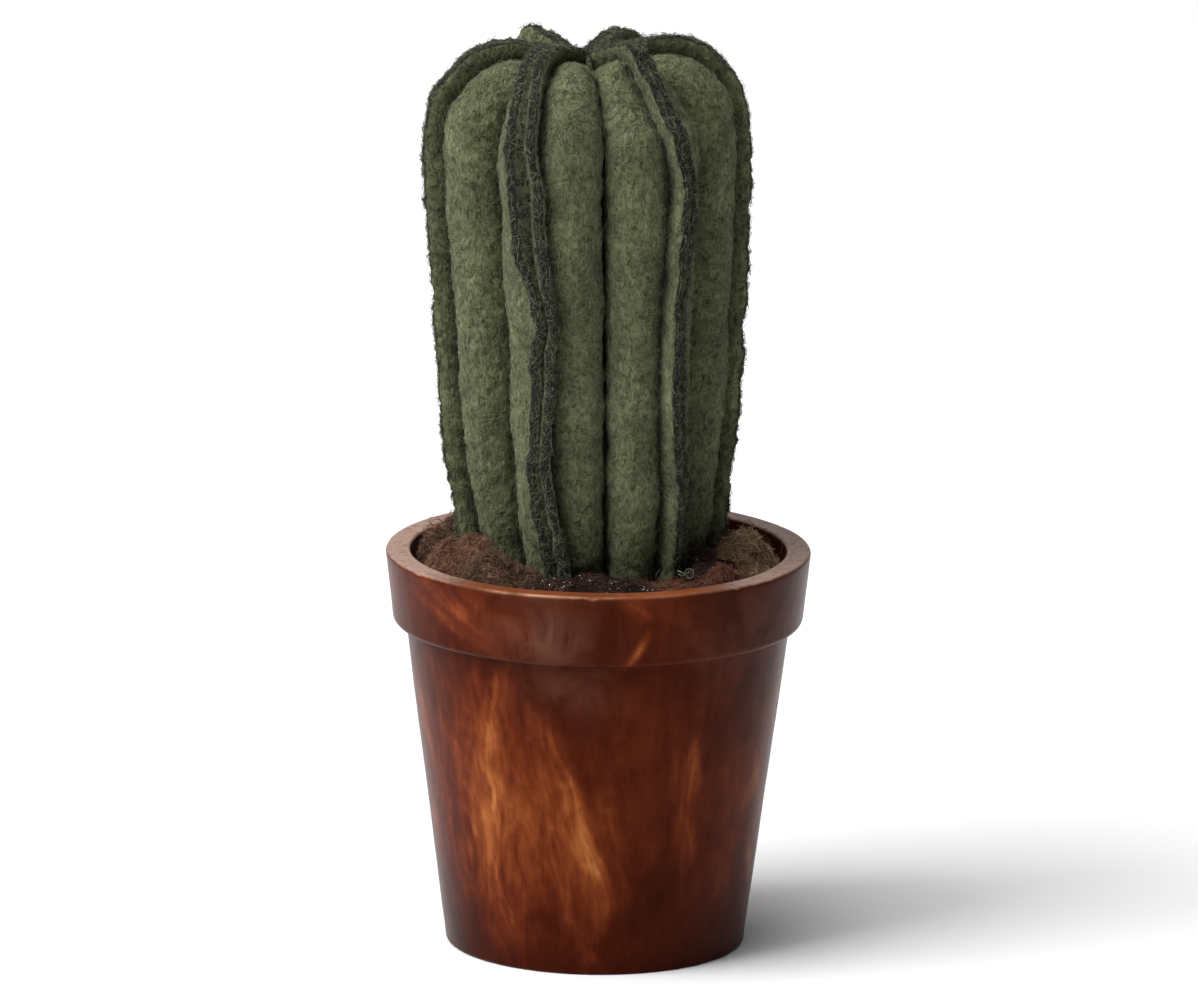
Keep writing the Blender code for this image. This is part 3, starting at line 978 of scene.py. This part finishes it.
def scatterOn(tree, start):
    # points over the surface, as dense as the density times the share painted on it
    density = mathOf(tree, "MULTIPLY", start["Density"], namedValue(tree, start["Share"]))
    return addNode(
        tree,
        "GeometryNodeDistributePointsOnFaces",
        {"Mesh": start["Geometry"], "Density": density, "Seed": start["Seed"]},
    )


def vectorOf(tree, operation, values):
    return addNode(tree, "ShaderNodeVectorMath", values, operation=operation).outputs[0]


def randomOf(tree, low, high, seed):
    node = addNode(tree, "FunctionNodeRandomValue", {2: low, 3: high, "Seed": seed}, data_type="FLOAT")
    return node.outputs[1]


def randomVector(tree, low, high, seed):
    values = {0: low, 1: high, "Seed": seed}
    return addNode(tree, "FunctionNodeRandomValue", values, data_type="FLOAT_VECTOR").outputs[0]


def randomTurn(tree, base, low, high, seed):
    euler = randomVector(tree, low, high, seed)
    turn = addNode(tree, "FunctionNodeEulerToRotation", {0: euler}).outputs[0]
    values = {"Rotation": base, "Rotate By": turn}
    return addNode(tree, "FunctionNodeRotateRotation", values, rotation_space="LOCAL").outputs[0]


def copiesOn(tree, points, shape, turn, size):
    values = {"Points": points, "Instance": shape, "Rotation": turn, "Scale": size}
    return addNode(tree, "GeometryNodeInstanceOnPoints", values).outputs[0]


def numberedFrom(tree, placed, seed):
    # each copy keeps a random number of its own, for its colour and its waves
    values = {"Geometry": placed, "Name": "strand", "Value": randomOf(tree, 0.0, 1.0, seed)}
    return addNode(
        tree, "GeometryNodeStoreNamedAttribute", values, data_type="FLOAT", domain="INSTANCE"
    ).outputs[0]


def fibreTree():
    tree, start = newTree(
        "looseFibres",
        (
            ("Share", "String"),
            ("Density", "Float"),
            ("Length", "Float"),
            ("Thickness", "Float"),
            ("Curl", "Float"),
            ("Curl Size", "Float"),
            ("Least Tilt", "Float"),
            ("Most Tilt", "Float"),
            ("Hug", "Float"),
            ("Lift", "Float"),
            ("Points", "Int"),
            ("Seed", "Int"),
            ("Material", "Material"),
        ),
    )
    scatter = scatterOn(tree, start)
    line = addNode(tree, "GeometryNodeCurvePrimitiveLine", {"End": (0.0, 0.0, 1.0)}).outputs[0]
    strand = addNode(tree, "GeometryNodeResampleCurve", {"Curve": line, "Count": start["Points"]})
    # each leans over by its tilt and points any way round; the order of turns is X, then Z
    least = addNode(tree, "ShaderNodeCombineXYZ", {"X": start["Least Tilt"]}).outputs[0]
    most = addNode(
        tree, "ShaderNodeCombineXYZ", {"X": start["Most Tilt"], "Z": math.tau}
    ).outputs[0]
    turned = randomTurn(tree, scatter.outputs["Rotation"], least, most, 3)
    length = mathOf(tree, "MULTIPLY", randomOf(tree, 0.4, 1.3, 7), start["Length"])
    placed = copiesOn(tree, scatter.outputs["Points"], strand.outputs[0], turned, length)
    numbered = numberedFrom(tree, placed, 11)
    real = addNode(tree, "GeometryNodeRealizeInstances", {0: numbered}).outputs[0]
    waves = addNode(
        tree,
        "ShaderNodeTexNoise",
        {
            "Vector": addNode(tree, "GeometryNodeInputPosition").outputs[0],
            "W": mathOf(tree, "MULTIPLY", namedValue(tree, "strand"), 9.0),
            "Scale": mathOf(tree, "DIVIDE", 1.0, start["Curl Size"]),
            "Detail": 1.0,
        },
        noise_dimensions="4D",
    ).outputs["Color"]
    centred = vectorOf(tree, "SUBTRACT", {0: waves, 1: (0.5, 0.5, 0.5)})
    along = addNode(tree, "GeometryNodeSplineParameter").outputs["Factor"]
    pull = mathOf(tree, "MULTIPLY", mathOf(tree, "POWER", along, 0.7), start["Curl"])
    offset = vectorOf(tree, "SCALE", {0: centred, "Scale": pull})
    waved = {"Geometry": real, "Offset": offset}
    loose = addNode(tree, "GeometryNodeSetPosition", waved).outputs[0]
    # each point is drawn back towards the surface, then lifted a little off it
    place = addNode(tree, "GeometryNodeInputPosition").outputs[0]
    near = addNode(
        tree, "GeometryNodeProximity", {0: start["Geometry"]}, target_element="FACES"
    ).outputs["Position"]
    facing = addNode(
        tree,
        "GeometryNodeSampleNearestSurface",
        {"Mesh": start["Geometry"], "Value": addNode(tree, "GeometryNodeInputNormal").outputs[0]},
        data_type="FLOAT_VECTOR",
    ).outputs["Value"]
    rise = mathOf(tree, "MULTIPLY", namedValue(tree, "strand"), start["Lift"])
    lifted = vectorOf(tree, "SCALE", {0: facing, "Scale": rise})
    seat = vectorOf(tree, "ADD", {0: near, 1: lifted})
    drawn = addNode(tree, "ShaderNodeMix", data_type="VECTOR")
    tree.links.new(start["Hug"], drawn.inputs[0])
    tree.links.new(place, drawn.inputs[4])
    tree.links.new(seat, drawn.inputs[5])
    hugging = {"Geometry": loose, "Position": drawn.outputs[1]}
    curled = addNode(tree, "GeometryNodeSetPosition", hugging).outputs[0]
    radius = mathOf(tree, "SUBTRACT", 1.0, mathOf(tree, "MULTIPLY", along, 0.55))
    thin = addNode(tree, "GeometryNodeSetCurveRadius", {"Curve": curled, "Radius": radius})
    ring = addNode(
        tree,
        "GeometryNodeCurvePrimitiveCircle",
        {"Resolution": 3, "Radius": mathOf(tree, "MULTIPLY", start["Thickness"], 0.5)},
    ).outputs[0]
    tube = addNode(
        tree,
        "GeometryNodeCurveToMesh",
        {"Curve": thin.outputs[0], "Profile Curve": ring, "Fill Caps": True},
    ).outputs[0]
    return endTree(tree, tube, start["Material"])


def stitchTree():
    tree, start = newTree(
        "stitches",
        (("Pitch", "Float"), ("Length", "Float"), ("Thickness", "Float"), ("Material", "Material")),
    )
    path = addNode(tree, "GeometryNodeMeshToCurve", {0: start["Geometry"]}).outputs[0]
    even = addNode(
        tree, "GeometryNodeResampleCurve", {"Curve": path, "Length": start["Pitch"]}, mode="LENGTH"
    ).outputs[0]
    size = addNode(
        tree,
        "ShaderNodeCombineXYZ",
        {"X": start["Thickness"], "Y": start["Thickness"], "Z": start["Length"]},
    ).outputs[0]
    drop = addNode(tree, "GeometryNodeMeshIcoSphere", {"Radius": 0.5, "Subdivisions": 2}).outputs[0]
    tangent = addNode(tree, "GeometryNodeInputTangent").outputs[0]
    turn = addNode(
        tree, "FunctionNodeAlignRotationToVector", {"Vector": tangent}, axis="Z"
    ).outputs[0]
    return endTree(tree, copiesOn(tree, even, drop, turn, size), start["Material"])


def crumbTree():
    tree, start = newTree(
        "crumbs",
        (
            ("Share", "String"),
            ("Density", "Float"),
            ("Smallest", "Float"),
            ("Largest", "Float"),
            ("Seed", "Int"),
            ("Material", "Material"),
        ),
    )
    scatter = scatterOn(tree, start)
    zero = (0.0, 0.0, 0.0)
    turned = randomTurn(tree, scatter.outputs["Rotation"], zero, (math.tau,) * 3, 5)
    size = randomOf(tree, start["Smallest"], start["Largest"], 9)
    flat = randomVector(tree, (0.6, 0.6, 0.4), (1.3, 1.0, 1.0), 13)
    scale = vectorOf(tree, "SCALE", {0: flat, "Scale": size})
    ball = addNode(tree, "GeometryNodeMeshIcoSphere", {"Radius": 0.5, "Subdivisions": 1}).outputs[0]
    placed = copiesOn(tree, scatter.outputs["Points"], ball, turned, scale)
    return endTree(tree, numberedFrom(tree, placed, 17), start["Material"])


def grownFrom(name, source, tree, material, settings):
    # runs a tree on a copy of the source mesh and keeps what it makes as a plain mesh
    grower = bpy.data.objects.new(name + "Grower", source.copy())
    scene.collection.objects.link(grower)
    modifier = grower.modifiers.new(name, "NODES")
    modifier.node_group = tree
    items = [item for item in tree.interface.items_tree if item.in_out == "INPUT"]
    sockets = {item.name: item.identifier for item in items}
    for setting, value in settings.items():
        modifier[sockets[setting]] = value
    modifier[sockets["Material"]] = material
    bpy.context.view_layer.update()
    graph = bpy.context.evaluated_depsgraph_get()
    mesh = bpy.data.meshes.new_from_object(grower.evaluated_get(graph))
    copied = grower.data
    bpy.data.objects.remove(grower)
    bpy.data.meshes.remove(copied)
    mesh.name = name
    print(name, "has", len(mesh.polygons), "faces")
    return meshObject(name, mesh, material)


feltFuzz = {
    "Share": "fuzzShare",
    "Density": 2.9e6,  # for each square metre
    "Length": 1.0 * mm,
    "Thickness": 0.07 * mm,
    "Curl": 1.1 * mm,
    "Curl Size": 0.7 * mm,
    "Least Tilt": 1.2,
    "Most Tilt": 1.62,
    "Hug": 0.72,
    "Lift": 0.12 * mm,
    "Points": 4,
}
edgeFuzz = {
    "Share": "edgeShare",
    "Density": 5.2e6,
    "Length": 0.9 * mm,
    "Thickness": 0.07 * mm,
    "Curl": 1.1 * mm,
    "Curl Size": 0.6 * mm,
    "Least Tilt": 0.8,
    "Most Tilt": 1.6,
    "Hug": 0.55,
    "Lift": 0.25 * mm,
    "Points": 4,
}
stitch = {
    "Pitch": 2.6 * mm,
    "Length": 2.1 * mm,
    "Thickness": 0.34 * mm,
}


def stitchesIn(number, tree, material):
    # one line of stitches in the crease on each side of the raw edges
    habit = ribHabits[number]
    turn = ribTurn(number)
    sections = [sectionOf(crest) for crest in crestRun(habit)]
    points = []
    edges = []
    for left in (False, True):
        rows = range(4, len(sections) - 30, 3)
        for row in rows:
            section = sections[row]
            share = row / (len(sections) - 1)
            side = ribSide(section, left, share, habit, number)
            s, y = next((s, y) for s, y, zone, across in side if zone == "lobe")
            sign = -1.0 if left else 1.0
            points.append(leanIn(placeIn(section, s + 0.1 * mm, sign * (y + 0.05 * mm)), turn))
            if row > rows[0]:
                edges.append((len(points) - 2, len(points) - 1))
    path = bpy.data.meshes.new("creasePath")
    path.from_pydata(points, edges, [])
    name = f"seamStitches{number + 1}"
    obj = grownFrom(name, path, tree, material, stitch)
    bpy.data.meshes.remove(path)
    return finishPiece(obj, "thread", f"seam_thread_{number + 1}")


# wool in the pot

soil = {
    "depth": 3.2 * mm,  # below the rim, at the wall
    "crown": 2.0 * mm,  # how much it rises towards the cactus
    "lump": 0.55 * mm,
    "bottom": 12.4 * mm,
    "bins": 180,
    "gap": 0.06 * mm,
}

# each heap: azimuths, height above the bed, lumpiness, and where its ridge runs between the
# cactus (0) and the wall (1) and how wide that is
heaps = {
    "gritHeap": ((-40.0, 26.0), 2.0 * mm, 0.40 * mm, 0.55, 0.80),
    "woolHeapLeft": ((-132.0, -84.0), 4.4 * mm, 1.25 * mm, 0.62, 0.36),
    "woolMoundLeft": ((-90.0, -52.0), 3.8 * mm, 0.85 * mm, 0.20, 0.42),
    "woolLowLeft": ((-64.0, -24.0), 3.5 * mm, 1.10 * mm, 0.58, 0.42),
    "woolHeapRight": ((70.0, 110.0), 4.6 * mm, 0.95 * mm, 0.45, 0.36),
    "gritRidge": ((34.0, 86.0), 3.0 * mm, 0.90 * mm, 0.36, 0.32),
    "woolHeapFront": ((22.0, 68.0), 2.9 * mm, 0.80 * mm, 0.78, 0.32),
}


def potInside(height):
    # radius of the pot's inner wall at this height
    foot = pot["footRadius"] - pot["wall"]
    rim = rimRadius - pot["wall"]
    return foot + (rim - foot) * (height - pot["floor"]) / (rimHeight - pot["floor"])


def rootOutline(ribs):
    # how far the cactus reaches at the soil's level, all the way round
    bins = soil["bins"]
    reach = [0.0] * bins
    for rib in ribs:
        for vert in rib.data.vertices:
            if abs(vert.co.z - rimHeight + 1.0 * mm) < 1.2 * mm:
                place = int((azimuthOf(vert.co) % 360.0) / 360.0 * bins) % bins
                reach[place] = max(reach[place], vert.co.xy.length)
    filled = [r or max(reach[i - 1], reach[(i + 1) % bins]) for i, r in enumerate(reach)]
    return [max(filled[i - 1], filled[i]) for i in range(bins)]


def outlineAt(outline, azimuth):
    place = (azimuth % 360.0) / 360.0 * len(outline)
    low = int(place)
    a, b = outline[low % len(outline)], outline[(low + 1) % len(outline)]
    return a + (b - a) * (place - low)


def bedHeight(across):
    return rimHeight - soil["depth"] + soil["crown"] * (1.0 - across)


def woolBed(name, outline, low, high, rows, columns, crownOf, depth, material):
    # wool between the cactus and the wall; crownOf gives its height above the plain bed
    made = bmesh.new()
    share = made.verts.layers.float.new("fuzzShare")
    whole = high - low >= 360.0
    lines = []
    for i in range(columns if whole else columns + 1):
        azimuth = low + (high - low) * i / columns
        turn = math.radians(azimuth)
        direction = Vector((math.sin(turn), -math.cos(turn), 0.0))
        inner = outlineAt(outline, azimuth) + soil["gap"]
        line = []
        for j in range(rows + 1):
            across = j / rows
            level = bedHeight(across)
            outer = potInside(min(level, rimHeight)) - 0.15 * mm
            place = direction * (inner + (outer - inner) * across) + Vector((0.0, 0.0, level))
            # the bare hollows show the bed's darker colour, a painted shade between the lumps
            tuft = lumpsAt(place, 1.0)  # wool gathers on the lumps and leaves the hollows bare
            place.z += crownOf((azimuth - low) / (high - low), across, place)
            vert = made.verts.new(place)
            vert[share] = 0.12 + 0.88 * smoothStep(-0.35, 0.25, tuft)
            line.append(vert)
        for j, across in enumerate((1.0, 0.0)):
            level = bedHeight(across) - depth
            outer = min(potInside(level) - 0.15 * mm, line[-1].co.xy.length)
            radius = outer if across else inner - min(depth, 3.0 * mm) * 0.1
            line.append(made.verts.new(direction * radius + Vector((0.0, 0.0, level))))
        lines.append(line)
    bridgeRings(made, lines + lines[:1] if whole else lines)
    if not whole:
        made.faces.new(lines[0])
        made.faces.new(lines[-1])
    return pieceFrom(made, name, material)


def lumpsAt(place, size):
    flat = Vector((place.x, place.y, 0.03))
    lump = 1.1 * noise.noise(flat * 260.0) + 0.7 * noise.noise(flat * 650.0)
    return size * (1.35 * lump + 0.4 * noise.noise(flat * 1700.0))


def bedLumps(along, across, place):
    return lumpsAt(place, soil["lump"])


def heapOf(name, outline, columns, material):
    (low, high), height, lumpy, ridge, wide = heaps[name]

    def crownOf(along, across, place):
        taper = math.sin(math.pi * along) ** 0.7
        hump = math.exp(-(((across - ridge) / wide) ** 2))
        ends = smoothStep(0.0, 0.08, across) * (1.0 - smoothStep(0.90, 1.0, across))
        lumps = lumpsAt(place, lumpy) * (0.3 + 0.7 * ends)
        return (height * hump + lumps) * taper * (0.25 + 0.75 * ends) - 0.25 * mm * (1.0 - taper)

    return woolBed(name, outline, low, high, 24, columns, crownOf, 1.2 * mm, material)


woolLook = {
    "brown": ((0.009, 0.0036, 0.0017), (0.235, 0.125, 0.072)),
    "tan": ((0.075, 0.038, 0.017), (0.95, 0.66, 0.42)),
    "red": ((0.018, 0.0055, 0.0025), (0.30, 0.110, 0.058)),
    "dusk": ((0.018, 0.0068, 0.0032), (0.39, 0.190, 0.112)),
    "grit": ((0.0045, 0.0014, 0.0005), (0.060, 0.023, 0.009)),
}


def woolBase(name, dark, light):
    material, tree, shader = newMaterial(name, 1.0, IOR=1.25)
    fine = noiseOf(tree, objectCoords(tree), 1400.0, 4.0, 0.65, 0.8)
    # the bed under the fibres is darker than the fibres grown on it: a painted shade in the bare
    # hollows
    middle = tuple(0.6 * d + 0.25 * v for d, v in zip(dark, light))
    colour = rampOf(tree, fine, [(0.35, dark), (0.65, middle)])
    tree.links.new(colour, shader.inputs["Base Color"])
    bumpInto(tree, shader, fine, 0.3 * mm, 0.8)
    return material


woolFibres = {
    "Share": "fuzzShare",
    "Density": 7.5e6,
    "Length": 1.3 * mm,
    "Thickness": 0.05 * mm,
    "Curl": 2.6 * mm,
    "Curl Size": 0.75 * mm,
    "Least Tilt": 0.7,
    "Most Tilt": 1.6,
    "Hug": 0.45,
    "Lift": 0.5 * mm,
    "Points": 6,
}


def fineTube(made, layer, points, radius, tint):
    # a thin round fibre through the points
    rings = []
    for i, point in enumerate(points):
        ahead = points[min(i + 1, len(points) - 1)] - points[max(i - 1, 0)]
        turn = ahead.to_track_quat("Z", "Y")
        thin = radius * (1.0 - 0.5 * i / len(points))
        ring = []
        for k in range(4):
            angle = math.tau * k / 4
            corner = turn @ Vector((math.cos(angle) * thin, math.sin(angle) * thin, 0.0))
            vert = made.verts.new(point + corner)
            vert[layer] = tint
            ring.append(vert)
        rings.append(ring)
    bridgeRings(made, rings)
    made.faces.new(rings[0])
    made.faces.new(rings[-1])


def looseCurls(name, spots, material, slot):
    # (azimuth, radius, height, how many, size) where stray fibres curl up in open loops
    made = bmesh.new()
    layer = made.verts.layers.float.new("strand")
    random.seed(23)
    for azimuth, radius, height, count, size in spots:
        for _ in range(count):
            a = math.radians(azimuth + random.uniform(-7, 7))
            r = radius + random.uniform(-1.2, 1.2) * mm
            base = Vector((math.sin(a) * r, -math.cos(a) * r, rimHeight + height))
            lean = Euler([random.uniform(-1.0, 1.0) for _ in range(3)]).to_matrix()
            loop = size * random.uniform(0.5, 1.0)
            turns = random.uniform(0.8, 1.7)
            start = random.uniform(0, math.tau)
            run = []
            for i in range(22):
                t = i / 21
                angle = start + math.tau * turns * t
                wide = loop * (0.55 + 0.45 * math.sin(2.2 * t))
                flat = Vector((math.cos(angle) * wide, math.sin(angle) * wide, loop * (t - 0.4)))
                run.append(base + lean @ flat)
            fineTube(made, layer, run, random.uniform(0.035, 0.065) * mm, random.random())
    finishPiece(pieceFrom(made, name, material), slot)


packing = {
    "levels": 24,
    "turns": 96,
    "floorGap": 0.3 * mm,
    "soilGap": 2.2 * mm,
    "wallGap": 0.6 * mm,
    "lump": 0.3 * mm,
}


def makePacking(material):
    # the wad under the roots, pressed into the foot of the pot
    bottom = pot["floor"] + packing["floorGap"]
    top = rimHeight - soil["bottom"] - packing["soilGap"]
    turns = packing["turns"]
    rings = []
    made = bmesh.new()
    for step in range(packing["levels"] + 1):
        level = bottom + (top - bottom) * step / packing["levels"]
        ring = []
        for k in range(turns):
            angle = math.tau * k / turns
            direction = Vector((math.cos(angle), math.sin(angle), 0.0))
            place = direction * (potInside(level) - packing["wallGap"]) + Vector((0.0, 0.0, level))
            place += direction * (noise.noise(place * 260.0) * packing["lump"])
            ring.append(made.verts.new(place))
        rings.append(ring)
    bridgeRings(made, rings)
    for ring, level in ((rings[0], bottom), (rings[-1], top)):
        outer = ring
        for shrink in (0.8, 0.6, 0.4, 0.2):
            inner = []
            for vert in ring:
                place = Vector((vert.co.x * shrink, vert.co.y * shrink, level))
                place.z += noise.noise(place * 200.0) * 0.25 * mm
                inner.append(made.verts.new(place))
            bridgeRings(made, [outer, inner])
            outer = inner
        made.faces.new(outer)
    obj = finishPiece(pieceFrom(made, "packingWad", material), "stuffing", "packing")


# stage


def makeStage():
    material, tree, shader = newMaterial("paleFloor", 0.9)
    cloud = noiseOf(tree, objectCoords(tree), 3.0, 2.0)
    dull, pale = studio["floorPale"]
    paint = rampOf(tree, cloud, [(0.3, (dull,) * 3), (0.7, (pale,) * 3)])
    tree.links.new(paint, shader.inputs["Base Color"])
    mesh = bpy.data.meshes.new("floor")
    wide = studio["floorWide"]
    corners = [(-wide, -wide, 0), (wide, -wide, 0), (wide, wide, 0), (-wide, wide, 0)]
    mesh.from_pydata(corners, [], [(0, 1, 2, 3)])
    floor = meshObject("floor", mesh, material, smooth=False)
    floor.location.z = -0.02 * mm
    world = bpy.data.worlds.new("studio")
    scene.world = world
    world.use_nodes = True
    tree = world.node_tree
    back = tree.nodes["Background"]
    back.inputs["Color"].default_value = (1.0, 1.0, 1.0, 1.0)
    path = addNode(tree, "ShaderNodeLightPath")
    towards = addNode(tree, "ShaderNodeTexCoord").outputs["Generated"]
    behind = addNode(tree, "ShaderNodeSeparateXYZ", {0: towards}).outputs["Y"]
    sky = studio["skyDark"], studio["skyBright"]
    room = mapOf(tree, behind, 0.35, 0.98, sky, interpolation_type="SMOOTHSTEP")
    seen = path.outputs["Is Camera Ray"]
    strength = mapOf(tree, seen, 0.0, 1.0, (room, studio["skySeen"]))
    tree.links.new(strength, back.inputs["Strength"])
    for lamp in studio["lamps"]:
        areaLight(*lamp)
    scene.view_settings.view_transform = "Standard"


placeCamera(studio)
makeStage()
print("stage and camera ready")
wallPaint = potPaint("potPaint", 0.08, (0.5, 0.35, 0.3))
rimPaint = potPaint("rimPaint", 0.4, (0.7, 0.6, 0.55))
makePot(wallPaint, rimPaint)
print("pot turned and painted")

green = feltGreen("feltGreen", (0.112, 0.124, 0.058), (0.024, 0.028, 0.0115), (0.205, 0.225, 0.122))
fuzzGreen = fibreLook("fuzzGreen", (0.034, 0.039, 0.016), (0.215, 0.236, 0.126))
edgeGreen = fibreLook("edgeGreen", (0.004, 0.0045, 0.0025), (0.150, 0.163, 0.090))
footGreen = fibreLook("footGreen", (0.10, 0.115, 0.065), (0.30, 0.33, 0.22))
threadGreen = fibreLook("threadGreen", (0.020, 0.023, 0.012), (0.045, 0.050, 0.028))
wadding = woolBase("wadding", (0.35, 0.34, 0.31), (0.75, 0.74, 0.70))
fibres = fibreTree()
stitches = stitchTree()
crumbs = crumbTree()
thinning = 1.0


def withShare(settings, seed, share=1.0):
    return dict(settings, Seed=seed, Density=settings["Density"] * (share * thinning))


ribs = []
for index in range(cactus["ribs"]):
    rib = feltRib(index, green)
    ribs.append(rib)
    stuffingIn(index, wadding)
    stitchesIn(index, stitches, threadGreen)
    layers = (
        (f"feltFuzz{index + 1}", fuzzGreen, withShare(feltFuzz, index + 1)),
        (f"frayedEdge{index + 1}", edgeGreen, withShare(edgeFuzz, index + 21)),
    )
    for name, material, settings in layers:
        finishPiece(grownFrom(name, rib.data, fibres, material, settings), "felt")
    print("rib", index + 1, "sewn")

makePacking(wadding)
outline = rootOutline(ribs)
bases = {name: woolBase(name + "Wool", *look) for name, look in woolLook.items()}
strands = {name: fibreLook(name + "Fibre", *look) for name, look in woolLook.items()}
bed = woolBed(
    "soilBed", outline, 0.0, 360.0, 26, 300, bedLumps, soil["bottom"] - 2.0 * mm, bases["brown"]
)
finishPiece(bed, "brown_wool", "soil_wool")
grown = grownFrom("bedFibres", bed.data, fibres, strands["brown"], withShare(woolFibres, 41, 0.2))
finishPiece(grown, "brown_wool")
# each heap with its wool's colour, slot, the nodes it stands for, columns, and share of fibres
soilPieces = (
    ("gritHeap", "grit", "dark_grit", ("soil_grit",), 90, 0.35),
    ("woolHeapLeft", "brown", "brown_wool", ("tuft_left",), 80, 2.0),
    ("woolMoundLeft", "dusk", "brown_wool", (), 70, 2.4),
    ("woolLowLeft", "brown", "brown_wool", (), 70, 2.0),
    ("woolHeapRight", "tan", "tan_wool", ("tuft_right",), 80, 2.6),
    ("gritRidge", "grit", "dark_grit", (), 80, 0.8),
    ("woolHeapFront", "red", "red_wool", ("tuft_front",), 70, 1.6),
)
crumb = {"Share": "fuzzShare", "Density": 9.0e6, "Smallest": 0.18 * mm, "Largest": 0.5 * mm}
glint = {"Share": "fuzzShare", "Density": 1.0e6, "Smallest": 0.13 * mm, "Largest": 0.27 * mm}
glintLook = newMaterial("glint", 0.10, IOR=1.7, Base_Color=(0.85, 0.82, 0.78, 1.0))[0]
for number, (name, look, slot, nodes, columns, share) in enumerate(soilPieces):
    heap = heapOf(name, outline, columns, bases[look])
    finishPiece(heap, slot, *nodes)
    settings = withShare(woolFibres, 42 + number, share)
    if look == "brown":
        settings["Curl"] = 3.6 * mm
    finishPiece(grownFrom(name + "Fibres", heap.data, fibres, strands[look], settings), slot)
    if look == "grit":
        grit = grownFrom(name + "Crumbs", heap.data, crumbs, strands["grit"], dict(crumb, Seed=61))
        finishPiece(grit, slot)
        few = dict(glint, Seed=67, Density=glint["Density"] * (1.0 if name == "gritHeap" else 0.3))
        finishPiece(grownFrom(name + "Glints", heap.data, crumbs, glintLook, few), slot)
curlSpots = (
    (98, 20.6 * mm, 0.5 * mm, 4, 1.2 * mm),
    (88, 21.6 * mm, 0.3 * mm, 3, 1.1 * mm),
    (115, 20.8 * mm, -0.2 * mm, 5, 1.6 * mm),
    (118, 20.4 * mm, -0.8 * mm, 3, 1.2 * mm),
    (-72, 21.0 * mm, 1.4 * mm, 4, 1.0 * mm),
    (-100, 22.0 * mm, 1.6 * mm, 8, 1.1 * mm),
    (-42, 22.5 * mm, 0.8 * mm, 5, 0.9 * mm),
    (160, 21.0 * mm, -0.6 * mm, 3, 1.2 * mm),
    (-150, 21.0 * mm, -0.6 * mm, 3, 1.2 * mm),
)
footSpots = ((27, 20.4 * mm, 1.0 * mm, 3, 0.9 * mm),)
looseCurls("looseCurls", curlSpots, strands["dusk"], "tan_wool")
looseCurls("footCurls", footSpots, footGreen, "felt")
print("soil laid")
